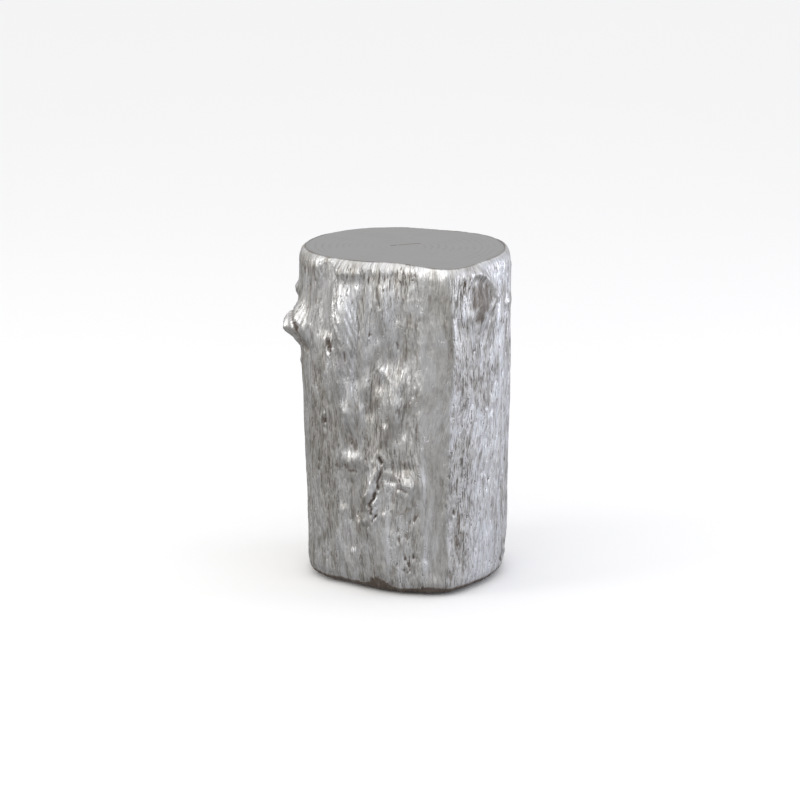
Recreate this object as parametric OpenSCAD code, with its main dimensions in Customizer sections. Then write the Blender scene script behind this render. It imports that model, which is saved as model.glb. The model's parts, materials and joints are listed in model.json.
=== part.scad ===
// Log stool: a hollow cast-resin log with a sawn top, on a plywood frame and four levelling glides.
// Millimetres, +Z up. The origin is on the floor, under the middle of the stool's outline.
// A bearing is an angle round the log, seen from above: 0 faces -Y and 90 faces +X.

/* [Log] */
// Height of the casting, from its lower edge to the sawn face
log_height = 479; // [380:1:620]
// Diameter of the log before its bulges and hollows
log_width = 294; // [246:1:400]
// How strongly the bulges and hollows stand out
relief = 1; // [0.6:0.05:1.2]
// Radius of the rounded edge round the sawn face
crown_roll = 8; // [5:0.5:12]
// Height of the rounded foot edge
foot_roll = 20; // [16:1:30]
// How far the foot edge turns in under the log
foot_tuck = 13; // [9:0.5:16]

/* [Casting] */
// Thickness of the laminated wall
wall = 8; // [5:0.5:11]
// Thickness of the in-turned foot flange
flange_thick = 13; // [10:0.5:18]
// Width of the flange's flat underside
flange_lip = 7; // [4:0.5:12]
// Thickness of the sawn top
cap_thick = 14; // [8:0.5:20]

/* [Inner frame] */
// Thickness of the seat board and of both frame rings
board_thick = 18; // [12:1:25]
// Diameter of the hole through both frame rings
ring_bore = 140; // [100:1:160]
// Side of a square post
post_side = 28; // [20:1:36]
// Radius of the circle that the posts stand on
post_circle = 92; // [88:1:95]
// Thickness of the base panel
panel_thick = 6; // [4:0.5:9]

/* [Glides] */
// Gap between the floor and the casting, with the glides screwed right in
floor_gap = 4; // [4:0.5:8]
// Diameter of a glide's foot
glide_width = 28; // [22:1:34]
// Space for a spanner between a glide's foot and the flange
glide_inset = 5; // [3:0.5:12]
// Thickness of the rubber sole
sole_thick = 2.8; // [2:0.1:4]
// Height of the nylon foot above the floor
foot_height = 7; // [6:0.1:9]
// Thread diameter of the stem
thread_width = 8; // [6:1:10]
// Pitch of the thread
thread_pitch = 1.25; // [1:0.05:1.5]
// How far a glide screws out
glide_travel = 10; // [5:0.5:12]
// Length of the tee nut's barrel
nut_barrel = 11; // [8:0.5:11]

/* [Screws] */
// Shank diameter of the wood screws
screw_width = 4; // [3:0.1:4.5]
// Length of a screw's grip in the piece that it is driven into
screw_grip = 14; // [8:1:16]

/* [Fits] */
// Gap round a board, ring or cap inside the casting
board_gap = 0.3; // [0.2:0.05:1]
// Radial clearance round a screw, tee nut or swivel neck
snug_gap = 0.06; // [0.03:0.01:0.1]
// Gap left between pieces that stop against each other
stop_gap = 0.3; // [0.2:0.05:0.5]

/* [Hidden] */
GLIDES = 4;
POSTS = 4;
SCREWS = 8;
GLIDE_NAMES = [for (i = [1:GLIDES]) str(i)];

// Each long bulge or hollow: bearing, spread in degrees, reach at the foot, reach at the crown
BULGES = [
    [21, 12, 18, 36],   // front corner
    [52, 20, 2, 9],     // right of the front corner
    [-6, 14, 2, -22],   // flat of the front, deep at the crown
    [-38, 15, -15, -12],// front left hollow
    [-66, 14, 2, -1],   // left of the hollow
    [-92, 24, -5, 6],   // left flank
    [112, 22, 2, 5],    // right back
    [158, 14, -2, -8],  // back hollow
    [212, 26, 5, 9]     // back left
];
// Each knot: bearing, share of the log's height, spread round the log, upwards and downwards, and reach
KNOTS = [
    [-78, 0.770, 15, 19, 12, 29],  // broken branch on the left
    [-88, 0.872, 6, 7, 5, 6],      // bud above it
    [-87, 0.620, 4, 5, 4, 3],      // bud below it
    [40, 0.870, 17, 27, 17, 17],   // burl under the front right of the crown
    [78, 0.860, 5, 6, 5, 6],       // bud beside the burl
    [-40, 0.850, 13, 40, 60, 9],   // shoulder on the front left
    [-12, 0.880, 22, 28, 50, 11],  // shoulder under the flat of the crown
    [-35, 0.565, 13, 17, 26, 9],   // left brow
    [-7, 0.575, 11, 16, 32, 10],   // right brow
    [-36, 0.385, 9, 9, 9, 9],      // round knot
    [-21, 0.310, 11, 34, 40, 6],   // scar lip
    [1, 0.340, 10, 9, 10, 8],      // knob at the scar's end
    [132, 0.640, 16, 24, 15, 16],  // branch stump on the right back
    [196, 0.360, 14, 18, 20, 12],  // burl on the back
    [238, 0.800, 12, 20, 13, 14]   // knot on the left back
];

BEARINGS = 72;
TURN = 360 / BEARINGS;
ROW_STEP = 13.2;
ROLL_STEPS = 4;
cap_bottom = log_height - cap_thick;
board_bottom = cap_bottom - board_thick;
seat_ring_bottom = board_bottom - board_thick;
base_ring_top = flange_thick + board_thick;
panel_bottom = flange_thick - panel_thick;
LAND_MARGIN = 6;
crown_land = log_height - seat_ring_bottom + LAND_MARGIN;
base_land = base_ring_top + LAND_MARGIN;
seat_inset = max(wall, crown_roll);

screw_r = screw_width / 2;
screw_head_r = screw_width;
screw_head_depth = screw_head_r - screw_r;
thread_r = thread_width / 2;
THREAD_DEPTH = 0.6;
nut_r = thread_r + 1.1;
NUT_FLANGE_R = 10.5;
NUT_FLANGE_THICK = 1.6;
PRONG = [3.2, 1.3, 6];
PRONG_CIRCLE = 8.4;
PRONGS = 4;
HEX_ACROSS_FLATS = 11;
COLLAR_R = 5.4;
COLLAR_THICK = 1.7;
NECK_R = 3.2;
RECESS = 0.8;
glide_foot_r = glide_width / 2;
sole_r = glide_foot_r - 1.5;
stem_top = flange_thick + floor_gap + board_thick + glide_travel + 2;
hex_bottom = foot_height + stop_gap;
hex_top = floor_gap + panel_bottom - stop_gap;

// Bell curve, 1 at 0 and about 0 at 3
function bell(x) = exp(-x * x / 2);
// Smooth step from 0 to 1
function ease(t) = let (u = min(max(t, 0), 1)) u * u * (3 - 2 * u);
// Signed angle from b to a, within half a turn
function between(a, b) = let (d = (((a - b) % 360) + 360) % 360) d > 180 ? d - 360 : d;
function total(list) = list * [for (x = list) 1];
// 0 in the base land, 1 in the crown land, easing between them
function level(h) = ease((h - base_land) / (log_height - crown_land - base_land));
// The log's radius without its knots, h above the casting's lower edge
function trunk_r(b, h) = log_width / 2 + relief * total([
    for (g = BULGES) bell(between(b, g[0]) / g[1]) * (g[2] + (g[3] - g[2]) * level(h))
]);
// How far the knots stand out there; they die away at the crown and at the foot
function knot_r(b, h) = relief * ease((log_height - h) / crown_roll / 2) * ease(h / foot_roll) * total([
    for (k = KNOTS) let (
        round_log = between(b, k[0]) * PI / 180 * log_width / 2 / k[2],
        up = h - k[1] * log_height,
        up_log = up / (up > 0 ? k[3] : k[4])
    ) k[5] * bell(round_log) * bell(up_log)
]);
// How far the rounded edges turn the skin in
function tuck(h) =
    h > log_height - crown_roll ? crown_roll * (1 - roll_cos((h - log_height + crown_roll) / crown_roll)) :
    h < foot_roll ? foot_tuck * (1 - roll_cos((foot_roll - h) / foot_roll)) : 0;
function roll_cos(u) = sqrt(max(0, 1 - u * u));
function skin_r(b, h) = trunk_r(b, h) + knot_r(b, h) - tuck(h);
function seam_r(b) = trunk_r(b, log_height) - crown_roll;
function seat_r(b) = trunk_r(b, log_height) - seat_inset - board_gap;
function base_r(b) = trunk_r(b, 0) - wall - board_gap;
function opening_r(b) = trunk_r(b, 0) - foot_tuck - flange_lip;
function at(b, r, h) = [r * sin(b), -r * cos(b), h];

// Heights of the skin's rows: the foot's round, the side, the crown's round
side_rows = ceil((log_height - foot_roll - crown_roll) / ROW_STEP);
skin_rows = concat(
    [for (i = [0:ROLL_STEPS - 1]) foot_roll * (1 - cos(90 * i / ROLL_STEPS))],
    [for (i = [0:side_rows]) foot_roll + (log_height - foot_roll - crown_roll) * i / side_rows],
    [for (i = [1:ROLL_STEPS]) log_height - crown_roll * (1 - sin(90 * i / ROLL_STEPS))]
);
LINER_ROWS = 8;
liner_low = base_land;
liner_high = log_height - crown_land;
liner_rows = [for (i = [LINER_ROWS:-1:0]) liner_low + (liner_high - liner_low) * i / LINER_ROWS];
// The wall's closed outline at one bearing: up the skin, over the crown, and down the liner
function wall_outline(b) = concat(
    [for (h = skin_rows) [skin_r(b, h), h]],
    [[seam_r(b), cap_bottom]],
    [for (h = [cap_bottom - 1, seat_ring_bottom - 1]) [trunk_r(b, h) - seat_inset, h]],
    [for (h = liner_rows) [trunk_r(b, h) - wall, h]],
    [[trunk_r(b, 0) - wall, flange_thick], [opening_r(b), flange_thick], [opening_r(b), 0]]
);

skin_points = [for (i = [0:BEARINGS - 1], h = skin_rows) at(i * TURN, skin_r(i * TURN, h), h)];
xs = [for (p = skin_points) p[0]];
ys = [for (p = skin_points) p[1]];
// The log's axis, seen from the middle of its outline
axis_place = [-(min(xs) + max(xs)) / 2, -(min(ys) + max(ys)) / 2, 0];

// The glides stand on one circle, as far out as the narrowest flange beside them lets them
function glide_bearing(i) = 90 * (i - 1);
function post_bearing(i) = 45 + 90 * (i - 1);
function screw_bearing(i) = 22.5 + 45 * i;
glide_circle = min([for (i = [1:GLIDES]) opening_r(glide_bearing(i))]) - glide_inset - glide_foot_r;
SCREW_EDGE = 9;
base_screw_circle = min([for (i = [0:SCREWS - 1]) opening_r(screw_bearing(i))]) - SCREW_EDGE;
seat_screw_circle = min([for (i = [0:SCREWS - 1]) seat_r(screw_bearing(i))]) - SCREW_EDGE - 5;

// Places its children at a bearing and radius, on the casting's own heights
module on_log(b = 0, r = 0, h = 0) {
    translate(axis_place + at(b, r, h + floor_gap)) rotate([0, 0, b]) children();
}

// A flat board with the log's own outline, radii[i] at each bearing
module board(radii, thick) {
    linear_extrude(height = thick)
        polygon([for (i = [0:BEARINGS - 1]) let (p = at(i * TURN, radii[i], 0)) [p[0], p[1]]]);
}

// A countersunk screw, head down at h = 0 and driven up; or the hole for it, with gap all round
module screw(length, gap = 0) {
    rotate_extrude($fn = 48) polygon([
        [0, gap > 0 ? -1 : 0],
        [screw_head_r + gap, gap > 0 ? -1 : 0],
        [screw_head_r + gap, 0],
        [screw_r + gap, screw_head_depth],
        [screw_r + gap, length - screw_r + gap],
        [gap > 0 ? screw_r + gap : 0.4, length + gap],
        [0, length + gap]
    ]);
}

// The recess that the driver turns a screw by
module drive() {
    for (turn = [0, 90]) rotate([0, 0, turn])
        translate([-screw_r * 1.1, -0.5, -1]) cube([screw_r * 2.2, 1, 1 + screw_head_depth * 0.7]);
}

module driven_screw(length) {
    difference() {
        screw(length);
        drive();
    }
}

module bark_shell() {
    outline = [for (i = [0:BEARINGS - 1]) wall_outline(i * TURN)];
    n = len(outline[0]);
    points = [for (i = [0:BEARINGS - 1], p = outline[i]) at(i * TURN, p[0], p[1])];
    function corner(i, j) = (i % BEARINGS) * n + j % n;
    faces = [
        for (i = [0:BEARINGS - 1], j = [0:n - 1], half = [0, 1])
            half == 0
                ? [corner(i, j), corner(i, j + 1), corner(i + 1, j + 1)]
                : [corner(i, j), corner(i + 1, j + 1), corner(i + 1, j)]
    ];
    color("silver") on_log() polyhedron(points, faces, convexity = 6);
}

module top_cap() {
    color("darkgray") on_log(h = cap_bottom)
        board([for (i = [0:BEARINGS - 1]) seam_r(i * TURN) - board_gap], cap_thick);
}

module seat_board() {
    color("burlywood") difference() {
        on_log(h = board_bottom)
            board([for (i = [0:BEARINGS - 1]) seat_r(i * TURN)], board_thick);
        seat_screw_places() screw(board_thick + screw_grip, snug_gap);
    }
}

// A frame ring that fills the casting at height h, less the holes that its children cut
module ring(h, radii) {
    difference() {
        on_log(h = h) board(radii, board_thick);
        on_log(h = h - 1) cylinder(d = ring_bore, h = board_thick + 2, $fn = 96);
        post_screw_places() screw(board_thick + 2 * screw_grip, snug_gap);
        children();
    }
}

module seat_ring() {
    color("burlywood") ring(seat_ring_bottom, [for (i = [0:BEARINGS - 1]) seat_r(i * TURN)])
        seat_screw_places() screw(board_thick + screw_grip, snug_gap);
}

module base_ring() {
    color("burlywood") ring(flange_thick, [for (i = [0:BEARINGS - 1]) base_r(i * TURN)]) {
        base_screw_places() screw(panel_thick + screw_grip, snug_gap);
        for (i = [1:GLIDES]) tee_nut_place(i) {
            translate([0, 0, -board_thick - 1]) cylinder(r = nut_r + snug_gap, h = board_thick + 2, $fn = 48);
            prongs(snug_gap);
        }
    }
}

module base_panel() {
    color("dimgray") difference() {
        on_log(h = panel_bottom)
            board([for (i = [0:BEARINGS - 1]) opening_r(i * TURN) - board_gap], panel_thick);
        base_screw_places() screw(panel_thick + screw_grip, snug_gap);
        for (i = [1:GLIDES]) on_log(glide_bearing(i), glide_circle, panel_bottom - 1)
            cylinder(r = thread_r + 1.5, h = panel_thick + 2, $fn = 48);
    }
}

module post(i) {
    color("tan") difference() {
        on_log(post_bearing(i), post_circle, base_ring_top)
            translate([-post_side / 2, -post_side / 2, 0])
                cube([post_side, post_side, seat_ring_bottom - base_ring_top]);
        post_screw_places() screw(board_thick + 2 * screw_grip, snug_gap);
    }
}

// The three sets of screws, each as places that hold a screw or cut its hole
module seat_screw_places() {
    for (i = [0:SCREWS - 1]) on_log(screw_bearing(i), seat_screw_circle, cap_bottom)
        rotate([180, 0, 0]) children();
}

module post_screw_places() {
    for (i = [1:POSTS]) {
        on_log(post_bearing(i), post_circle, flange_thick) children();
        on_log(post_bearing(i), post_circle, board_bottom) rotate([180, 0, 0]) children();
    }
}

module base_screw_places() {
    for (i = [0:SCREWS - 1]) on_log(screw_bearing(i), base_screw_circle, panel_bottom) children();
}

module seat_screws() {
    color("goldenrod") seat_screw_places() driven_screw(board_thick + screw_grip);
}

module post_screws() {
    color("goldenrod") post_screw_places() driven_screw(board_thick + 2 * screw_grip);
}

module base_screws() {
    color("goldenrod") base_screw_places() driven_screw(panel_thick + screw_grip);
}

module tee_nut_place(i) {
    on_log(glide_bearing(i), glide_circle, base_ring_top) children();
}

module prongs(gap = 0) {
    for (k = [0:PRONGS - 1]) rotate([0, 0, 45 + k * 360 / PRONGS])
        translate([PRONG_CIRCLE - PRONG[1] / 2 - gap, -PRONG[0] / 2 - gap, -PRONG[2] - gap])
            cube([PRONG[1] + 2 * gap, PRONG[0] + 2 * gap, PRONG[2] + 2 * gap]);
}

module tee_nut(i) {
    color("lightslategray") tee_nut_place(i) difference() {
        union() {
            cylinder(r = NUT_FLANGE_R, h = NUT_FLANGE_THICK, $fn = 72);
            translate([0, 0, -nut_barrel]) cylinder(r = nut_r, h = nut_barrel, $fn = 48);
            prongs();
        }
        translate([0, 0, -nut_barrel - 1])
            cylinder(r = thread_r + snug_gap, h = nut_barrel + NUT_FLANGE_THICK + 2, $fn = 48);
    }
}

// A glide's own heights start at the floor
module glide_place(i) {
    on_log(glide_bearing(i), glide_circle, -floor_gap) children();
}

// Threaded stem with a spanner hexagon, a neck and a collar that the foot swivels on
module glide_stem(i) {
    turns = floor((stem_top - hex_top - 2) / thread_pitch);
    root_r = thread_r - THREAD_DEPTH;
    start = hex_top + 1;
    thread = [for (k = [0:turns - 1], side = [0, 1])
        [side == 0 ? root_r : thread_r, start + (k + side / 2) * thread_pitch]];
    end = start + turns * thread_pitch;
    collar_bottom = sole_thick + stop_gap;
    color("lightsteelblue") glide_place(i) {
        rotate_extrude($fn = 48) polygon(concat(
            [[0, collar_bottom], [COLLAR_R, collar_bottom], [COLLAR_R, collar_bottom + COLLAR_THICK],
             [NECK_R, collar_bottom + COLLAR_THICK], [NECK_R, hex_top], [root_r, hex_top]],
            thread,
            [[root_r, end], [root_r, stem_top - 0.5], [root_r - 0.5, stem_top], [0, stem_top]]
        ));
        translate([0, 0, hex_bottom])
            cylinder(r = HEX_ACROSS_FLATS / 2 / cos(30), h = hex_top - hex_bottom, $fn = 6);
    }
}

// Nylon foot: a low cup with the collar's pocket inside and a recess for the sole below
module glide_foot(i) {
    bottom = sole_thick - RECESS;
    pocket_top = sole_thick + stop_gap + COLLAR_THICK + stop_gap;
    bevel = 1.5;
    color("dimgray") glide_place(i) rotate_extrude($fn = 72) polygon([
        [sole_r + snug_gap, bottom], [glide_foot_r, bottom], [glide_foot_r, foot_height - bevel],
        [glide_foot_r - bevel, foot_height], [NECK_R + snug_gap, foot_height],
        [NECK_R + snug_gap, pocket_top], [COLLAR_R + stop_gap, pocket_top],
        [COLLAR_R + stop_gap, sole_thick], [sole_r + snug_gap, sole_thick]
    ]);
}

module glide_sole(i) {
    color("black") glide_place(i) cylinder(r = sole_r, h = sole_thick, $fn = 72);
}

bark_shell();
top_cap();
seat_board();
seat_ring();
base_ring();
base_panel();
seat_screws();
post_screws();
base_screws();
for (i = [1:POSTS]) post(i);
for (i = [1:GLIDES]) tee_nut(i);
for (i = [1:GLIDES]) glide_stem(i);
for (i = [1:GLIDES]) glide_foot(i);
for (i = [1:GLIDES]) glide_sole(i);
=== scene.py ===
"""Looks of a log stool: cast resin in aged silver leaf, a sawn top, a plywood frame and levelling glides.

The log's outline and every piece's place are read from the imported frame, which is in metres. Marks in the
bark are placed by bearing and height. A bearing is an angle round the log in degrees, seen from above: 0
faces -Y and 90 faces +X. A height is measured in millimetres up from the casting's lower edge.
"""

from __future__ import annotations

import json
import logging
import math
from dataclasses import dataclass, field
from enum import Enum
from typing import Any, Mapping, Sequence

import bmesh
import bpy
import numpy as np
from mathutils import Matrix, Vector
from mathutils.bvhtree import BVHTree

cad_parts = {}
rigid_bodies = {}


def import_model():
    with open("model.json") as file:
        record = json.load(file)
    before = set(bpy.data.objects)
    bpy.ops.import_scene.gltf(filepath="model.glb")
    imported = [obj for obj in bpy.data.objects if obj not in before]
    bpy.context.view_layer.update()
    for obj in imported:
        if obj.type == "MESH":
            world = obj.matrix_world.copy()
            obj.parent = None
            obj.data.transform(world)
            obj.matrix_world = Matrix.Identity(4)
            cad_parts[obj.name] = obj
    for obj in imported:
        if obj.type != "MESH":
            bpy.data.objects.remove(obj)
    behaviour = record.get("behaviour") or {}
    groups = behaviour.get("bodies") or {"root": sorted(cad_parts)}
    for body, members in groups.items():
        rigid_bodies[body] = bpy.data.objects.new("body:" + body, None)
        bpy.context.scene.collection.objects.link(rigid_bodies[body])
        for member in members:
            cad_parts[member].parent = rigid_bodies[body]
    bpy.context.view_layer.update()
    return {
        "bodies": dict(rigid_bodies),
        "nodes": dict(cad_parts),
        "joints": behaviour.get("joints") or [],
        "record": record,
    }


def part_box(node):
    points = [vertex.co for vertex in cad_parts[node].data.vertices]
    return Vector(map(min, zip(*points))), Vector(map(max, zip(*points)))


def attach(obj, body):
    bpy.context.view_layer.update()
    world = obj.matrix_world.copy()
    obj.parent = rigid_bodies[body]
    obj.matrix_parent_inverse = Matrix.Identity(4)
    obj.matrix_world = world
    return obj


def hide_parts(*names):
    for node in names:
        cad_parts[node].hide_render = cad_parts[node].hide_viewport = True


MM = 0.001
# The log's mean radius, which turns a bearing into a distance over the bark
BARK_RADIUS = 147.0
PER_DEGREE = math.radians(1.0) * BARK_RADIUS
LOG = logging.getLogger("log_stool")
Colour = tuple[float, float, float]
Place = tuple[float, float]


# ---------------------------------------------------------------- node writing


class Wire:
    """A node's output that adds Math nodes when it is used in an expression."""

    def __init__(self, sheet: "NodeSheet", socket: bpy.types.NodeSocket) -> None:
        """Keeps the socket and the sheet that it belongs to."""
        self.sheet = sheet
        self.socket = socket

    def _math(self, operation: str, *values: Any) -> "Wire":
        """Adds one Math node.

        Args:
            operation: the Math node's operation.
            values: its inputs, in order, as numbers or wires.

        Returns:
            The node's output.
        """
        made = self.sheet.node("ShaderNodeMath", {"operation": operation}, dict(enumerate(values)))
        return made[0]

    def __add__(self, other: Any) -> "Wire":
        """self + other."""
        return self._math("ADD", self, other)

    def __sub__(self, other: Any) -> "Wire":
        """self - other."""
        return self._math("SUBTRACT", self, other)

    def __rsub__(self, other: Any) -> "Wire":
        """other - self."""
        return self._math("SUBTRACT", other, self)

    def __mul__(self, other: Any) -> "Wire":
        """self * other."""
        return self._math("MULTIPLY", self, other)

    def __truediv__(self, other: Any) -> "Wire":
        """self / other."""
        return self._math("DIVIDE", self, other)

    def __abs__(self) -> "Wire":
        """The size of self, without its sign."""
        return self._math("ABSOLUTE", self)

    def most(self, other: Any) -> "Wire":
        """The larger of self and other."""
        return self._math("MAXIMUM", self, other)

    def least(self, other: Any) -> "Wire":
        """The smaller of self and other."""
        return self._math("MINIMUM", self, other)

    def clipped(self) -> "Wire":
        """self held between 0 and 1."""
        return self.most(0.0).least(1.0)

    def step(self, low: float, high: float) -> "Wire":
        """A smooth step.

        Args:
            low: the value that gives 0.
            high: the value that gives 1; it may be under low.

        Returns:
            The step's value.
        """
        made = self.sheet.node(
            "ShaderNodeMapRange",
            {"interpolation_type": "SMOOTHSTEP"},
            {"Value": self, "From Min": low, "From Max": high, "To Min": 0.0, "To Max": 1.0},
        )
        return made[0]


@dataclass
class Made:
    """A node that was added to a sheet."""

    sheet: "NodeSheet"
    node: bpy.types.Node

    def __getitem__(self, output: int | str) -> Wire:
        """The output of that name or place."""
        return Wire(self.sheet, self.node.outputs[output])


class NodeSheet:
    """Writes nodes into one shader or geometry tree."""

    def __init__(self, tree: bpy.types.NodeTree) -> None:
        """Keeps the tree."""
        self.tree = tree

    def node(
        self,
        kind: str,
        settings: Mapping[str, Any] | None = None,
        inputs: Mapping[int | str, Any] | None = None,
    ) -> Made:
        """Adds a node.

        Args:
            kind: the node's type.
            settings: its own settings, which are set first.
            inputs: a value, wire or made node for each input's name or place.

        Returns:
            The node.
        """
        made = self.tree.nodes.new(kind)
        for name, value in (settings or {}).items():
            setattr(made, name, value)
        for key, value in (inputs or {}).items():
            self.feed(made.inputs[key], value)
        return Made(self, made)

    def feed(self, socket: bpy.types.NodeSocket, value: Any) -> None:
        """Links a wire to a socket, or sets the socket's own value."""
        if isinstance(value, Made):
            value = value[0]
        if isinstance(value, Wire):
            self.tree.links.new(value.socket, socket)
        elif socket.type == "RGBA" and len(value) == 3:
            socket.default_value = (*value, 1.0)
        else:
            socket.default_value = value

    def blend(self, factor: Any, first: Any, second: Any) -> Wire:
        """Mixes two colours.

        Args:
            factor: 0 for the first colour and 1 for the second.
            first: a colour or a wire.
            second: a colour or a wire.

        Returns:
            The mixed colour.
        """
        made = self.node("ShaderNodeMix", {"data_type": "RGBA"}, {0: factor, 6: first, 7: second})
        return made[2]

    def vector(self, operation: str, first: Any, second: Any = None, scale: Any = None) -> Wire:
        """Adds one Vector Math node.

        Args:
            operation: the node's operation.
            first: a vector or a wire.
            second: a vector or a wire, for the operations that take two.
            scale: the number to scale by, for SCALE.

        Returns:
            The vector.
        """
        inputs: dict[int | str, Any] = {0: first}
        if second is not None:
            inputs[1] = second
        if scale is not None:
            inputs["Scale"] = scale
        return self.node("ShaderNodeVectorMath", {"operation": operation}, inputs)[0]

    def noise(
        self,
        place: Wire,
        size: tuple[float, float, float],
        detail: float = 2.0,
        rough: float = 0.5,
        warp: float = 0.0,
        shift: float = 0.0,
    ) -> Wire:
        """A noise whose grains have a stated size.

        Args:
            place: the coordinates, in metres.
            size: a grain's size along each axis, in millimetres.
            detail: how many finer layers there are.
            rough: how strong the finer layers are.
            warp: how much the noise is bent by itself.
            shift: moves the pattern, so that two noises differ.

        Returns:
            The noise, from 0 to 1.
        """
        scaled = self.vector("MULTIPLY", place, tuple(1.0 / (s * MM) for s in size))
        moved = self.vector("ADD", scaled, (shift, shift * 1.7, shift * 0.6))
        made = self.node(
            "ShaderNodeTexNoise",
            None,
            {"Vector": moved, "Scale": 1.0, "Detail": detail, "Roughness": rough, "Distortion": warp},
        )
        return made[0]


class Paint(NodeSheet):
    """Writes one material with a Principled shader."""

    def __init__(self, name: str) -> None:
        """Makes the material with its shader and output."""
        self.material = bpy.data.materials.new(name)
        self.material.use_nodes = True
        super().__init__(self.material.node_tree)
        self.tree.nodes.clear()
        self.shader = self.node("ShaderNodeBsdfPrincipled")
        self.node("ShaderNodeOutputMaterial", None, {0: self.shader})

    def place(self) -> Wire:
        """The piece's own coordinates, in metres."""
        return self.node("ShaderNodeTexCoord")["Object"]

    def own(self, name: str, output: str = "Vector") -> Wire:
        """An attribute that the piece's mesh carries."""
        return self.node("ShaderNodeAttribute", {"attribute_name": name})[output]

    def set(self, **values: Any) -> None:
        """Sets the shader's sockets, named with underscores for spaces."""
        for name, value in values.items():
            self.feed(self.shader.node.inputs[name.replace("_", " ")], value)

    def relief(self, height: Wire, depth: float) -> Wire:
        """Adds a bump.

        Args:
            height: the relief, from 0 to 1.
            depth: its depth in millimetres.

        Returns:
            The bumped normal.
        """
        inputs = {"Strength": 1.0, "Distance": depth * MM, "Height": height}
        return self.node("ShaderNodeBump", None, inputs)[0]


# -------------------------------------------------------------------- finishes


@dataclass(frozen=True)
class AgedLeaf:
    """Silver leaf over bark relief, rubbed back, with a warm glaze left in its hollows."""

    leaf: Colour = (0.90, 0.905, 0.92)
    dull: Colour = (0.62, 0.608, 0.585)
    taupe: Colour = (0.30, 0.268, 0.232)
    worn: Colour = (0.105, 0.089, 0.072)
    glaze: Colour = (0.065, 0.043, 0.03)
    roughness: float = 0.40

    def make(self, name: str = "aged_silver_leaf") -> bpy.types.Material:
        """Builds the material; the mesh carries grain, hollow, calm and painted_light, the painted highlight
        and shade.
        """
        paint = Paint(name)
        grain = paint.own("grain")
        hollow = paint.own("hollow", "Fac")
        calm = paint.own("calm", "Fac")
        painted_light = paint.own("painted_light", "Fac")
        # Painted light: the last of these attributes brightens the leaf as a painted highlight and, below 0,
        # darkens and dulls it as painted shade
        cloudy = paint.noise(grain, (38, 38, 95), 3.0, 0.6, 0.4, 3.0)
        patchy = paint.noise(grain, (13, 13, 62), 2.0, 0.6, 0.6, 41.0)
        streaks = paint.noise(grain, (3.5, 3.5, 30), 2.5, 0.62, 0.4, 9.0)
        hair = paint.noise(grain, (1.5, 1.5, 13), 2.0, 0.6, 0.2, 21.0)
        flecks = paint.noise(grain, (3.6, 3.6, 10), 2.5, 0.65, 0.6, 33.0)
        rough_part = (1.0 - calm * 0.6) * (1.0 - painted_light * 0.3)
        fibre = (streaks * 0.5 + hair * 0.5).step(0.50, 0.41)
        tone = ((cloudy * 0.6 + patchy * 0.4).step(0.60, 0.40) - painted_light * 0.6).clipped()
        bright = (streaks * 0.4 + hair * 0.6).step(0.50, 0.34) * rough_part
        colour = paint.blend((tone * 0.85 + 0.1 - bright * 0.45).clipped(), self.leaf, self.dull)
        mottle = paint.noise(grain, (7.0, 7.0, 22), 4.0, 0.68, 0.5, 57.0).step(0.47, 0.62)
        colour = paint.blend((mottle * (tone * 0.4 + 0.26) * rough_part).clipped(), colour, self.taupe)
        dark = (fibre * rough_part * (tone * 0.4 + 0.5)).clipped()
        colour = paint.blend(dark * 0.86, colour, self.worn)
        pocks = flecks.step(0.56, 0.66) * patchy.step(0.42, 0.60) * rough_part
        stain = (hollow.step(0.12, 0.8) + pocks * 0.8).clipped()
        colour = paint.blend(stain * 0.94, colour, self.glaze)
        relief = paint.relief((streaks * 0.6 + hair * 0.4 - pocks * 0.25) * (1.0 - calm * 0.5), 2.8)
        paint.set(
            Base_Color=colour,
            Metallic=1.0 - stain * 0.7 - dark * 0.15,
            Roughness=(dark * 0.14 + stain * 0.25 + tone * 0.08 + self.roughness).clipped(),
            Normal=relief,
        )
        return paint.material


@dataclass(frozen=True)
class SatinLeaf:
    """Silver leaf on the sawn face: even and satin, with faint growth rings."""

    # The face's leaf is set far darker than the bark's leaf: painted shade of the top face
    leaf: Colour = (0.41, 0.41, 0.412)
    ring: Colour = (0.31, 0.307, 0.303)
    glaze: Colour = (0.08, 0.035, 0.02)

    def make(self, name: str = "satin_silver_leaf") -> bpy.types.Material:
        """Builds the material; the mesh carries growth and hollow."""
        paint = Paint(name)
        place = paint.place()
        growth = paint.own("growth", "Fac")
        hollow = paint.own("hollow", "Fac")
        wander = paint.noise(place, (26, 26, 26), 2.0, 0.5, 0.0, 5.0)
        fine = paint.noise(place, (2.2, 2.2, 2.2), 3.0, 0.6, 0.0, 8.0)
        cloudy = paint.noise(place, (48, 48, 48), 3.0, 0.55, 0.3, 2.0)
        across = growth * 88.0 + wander * 7.0
        rings = paint.node("ShaderNodeMath", {"operation": "SINE"}, {0: across})[0] * 0.5 + 0.5
        faint = (rings.step(0.55, 1.0) * cloudy.step(0.35, 0.7)).clipped()
        colour = paint.blend(faint * 0.42 + fine * 0.25, self.leaf, self.ring)
        colour = paint.blend(hollow.step(0.25, 0.9), colour, self.glaze)
        paint.set(
            Base_Color=colour,
            Metallic=1.0 - hollow.step(0.25, 0.9) * 0.7,
            Roughness=(cloudy * 0.14 + fine * 0.08 + 0.42),
            Normal=paint.relief(rings * 0.10 + fine * 0.4 + cloudy * 0.6, 0.10),
        )
        return paint.material


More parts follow.
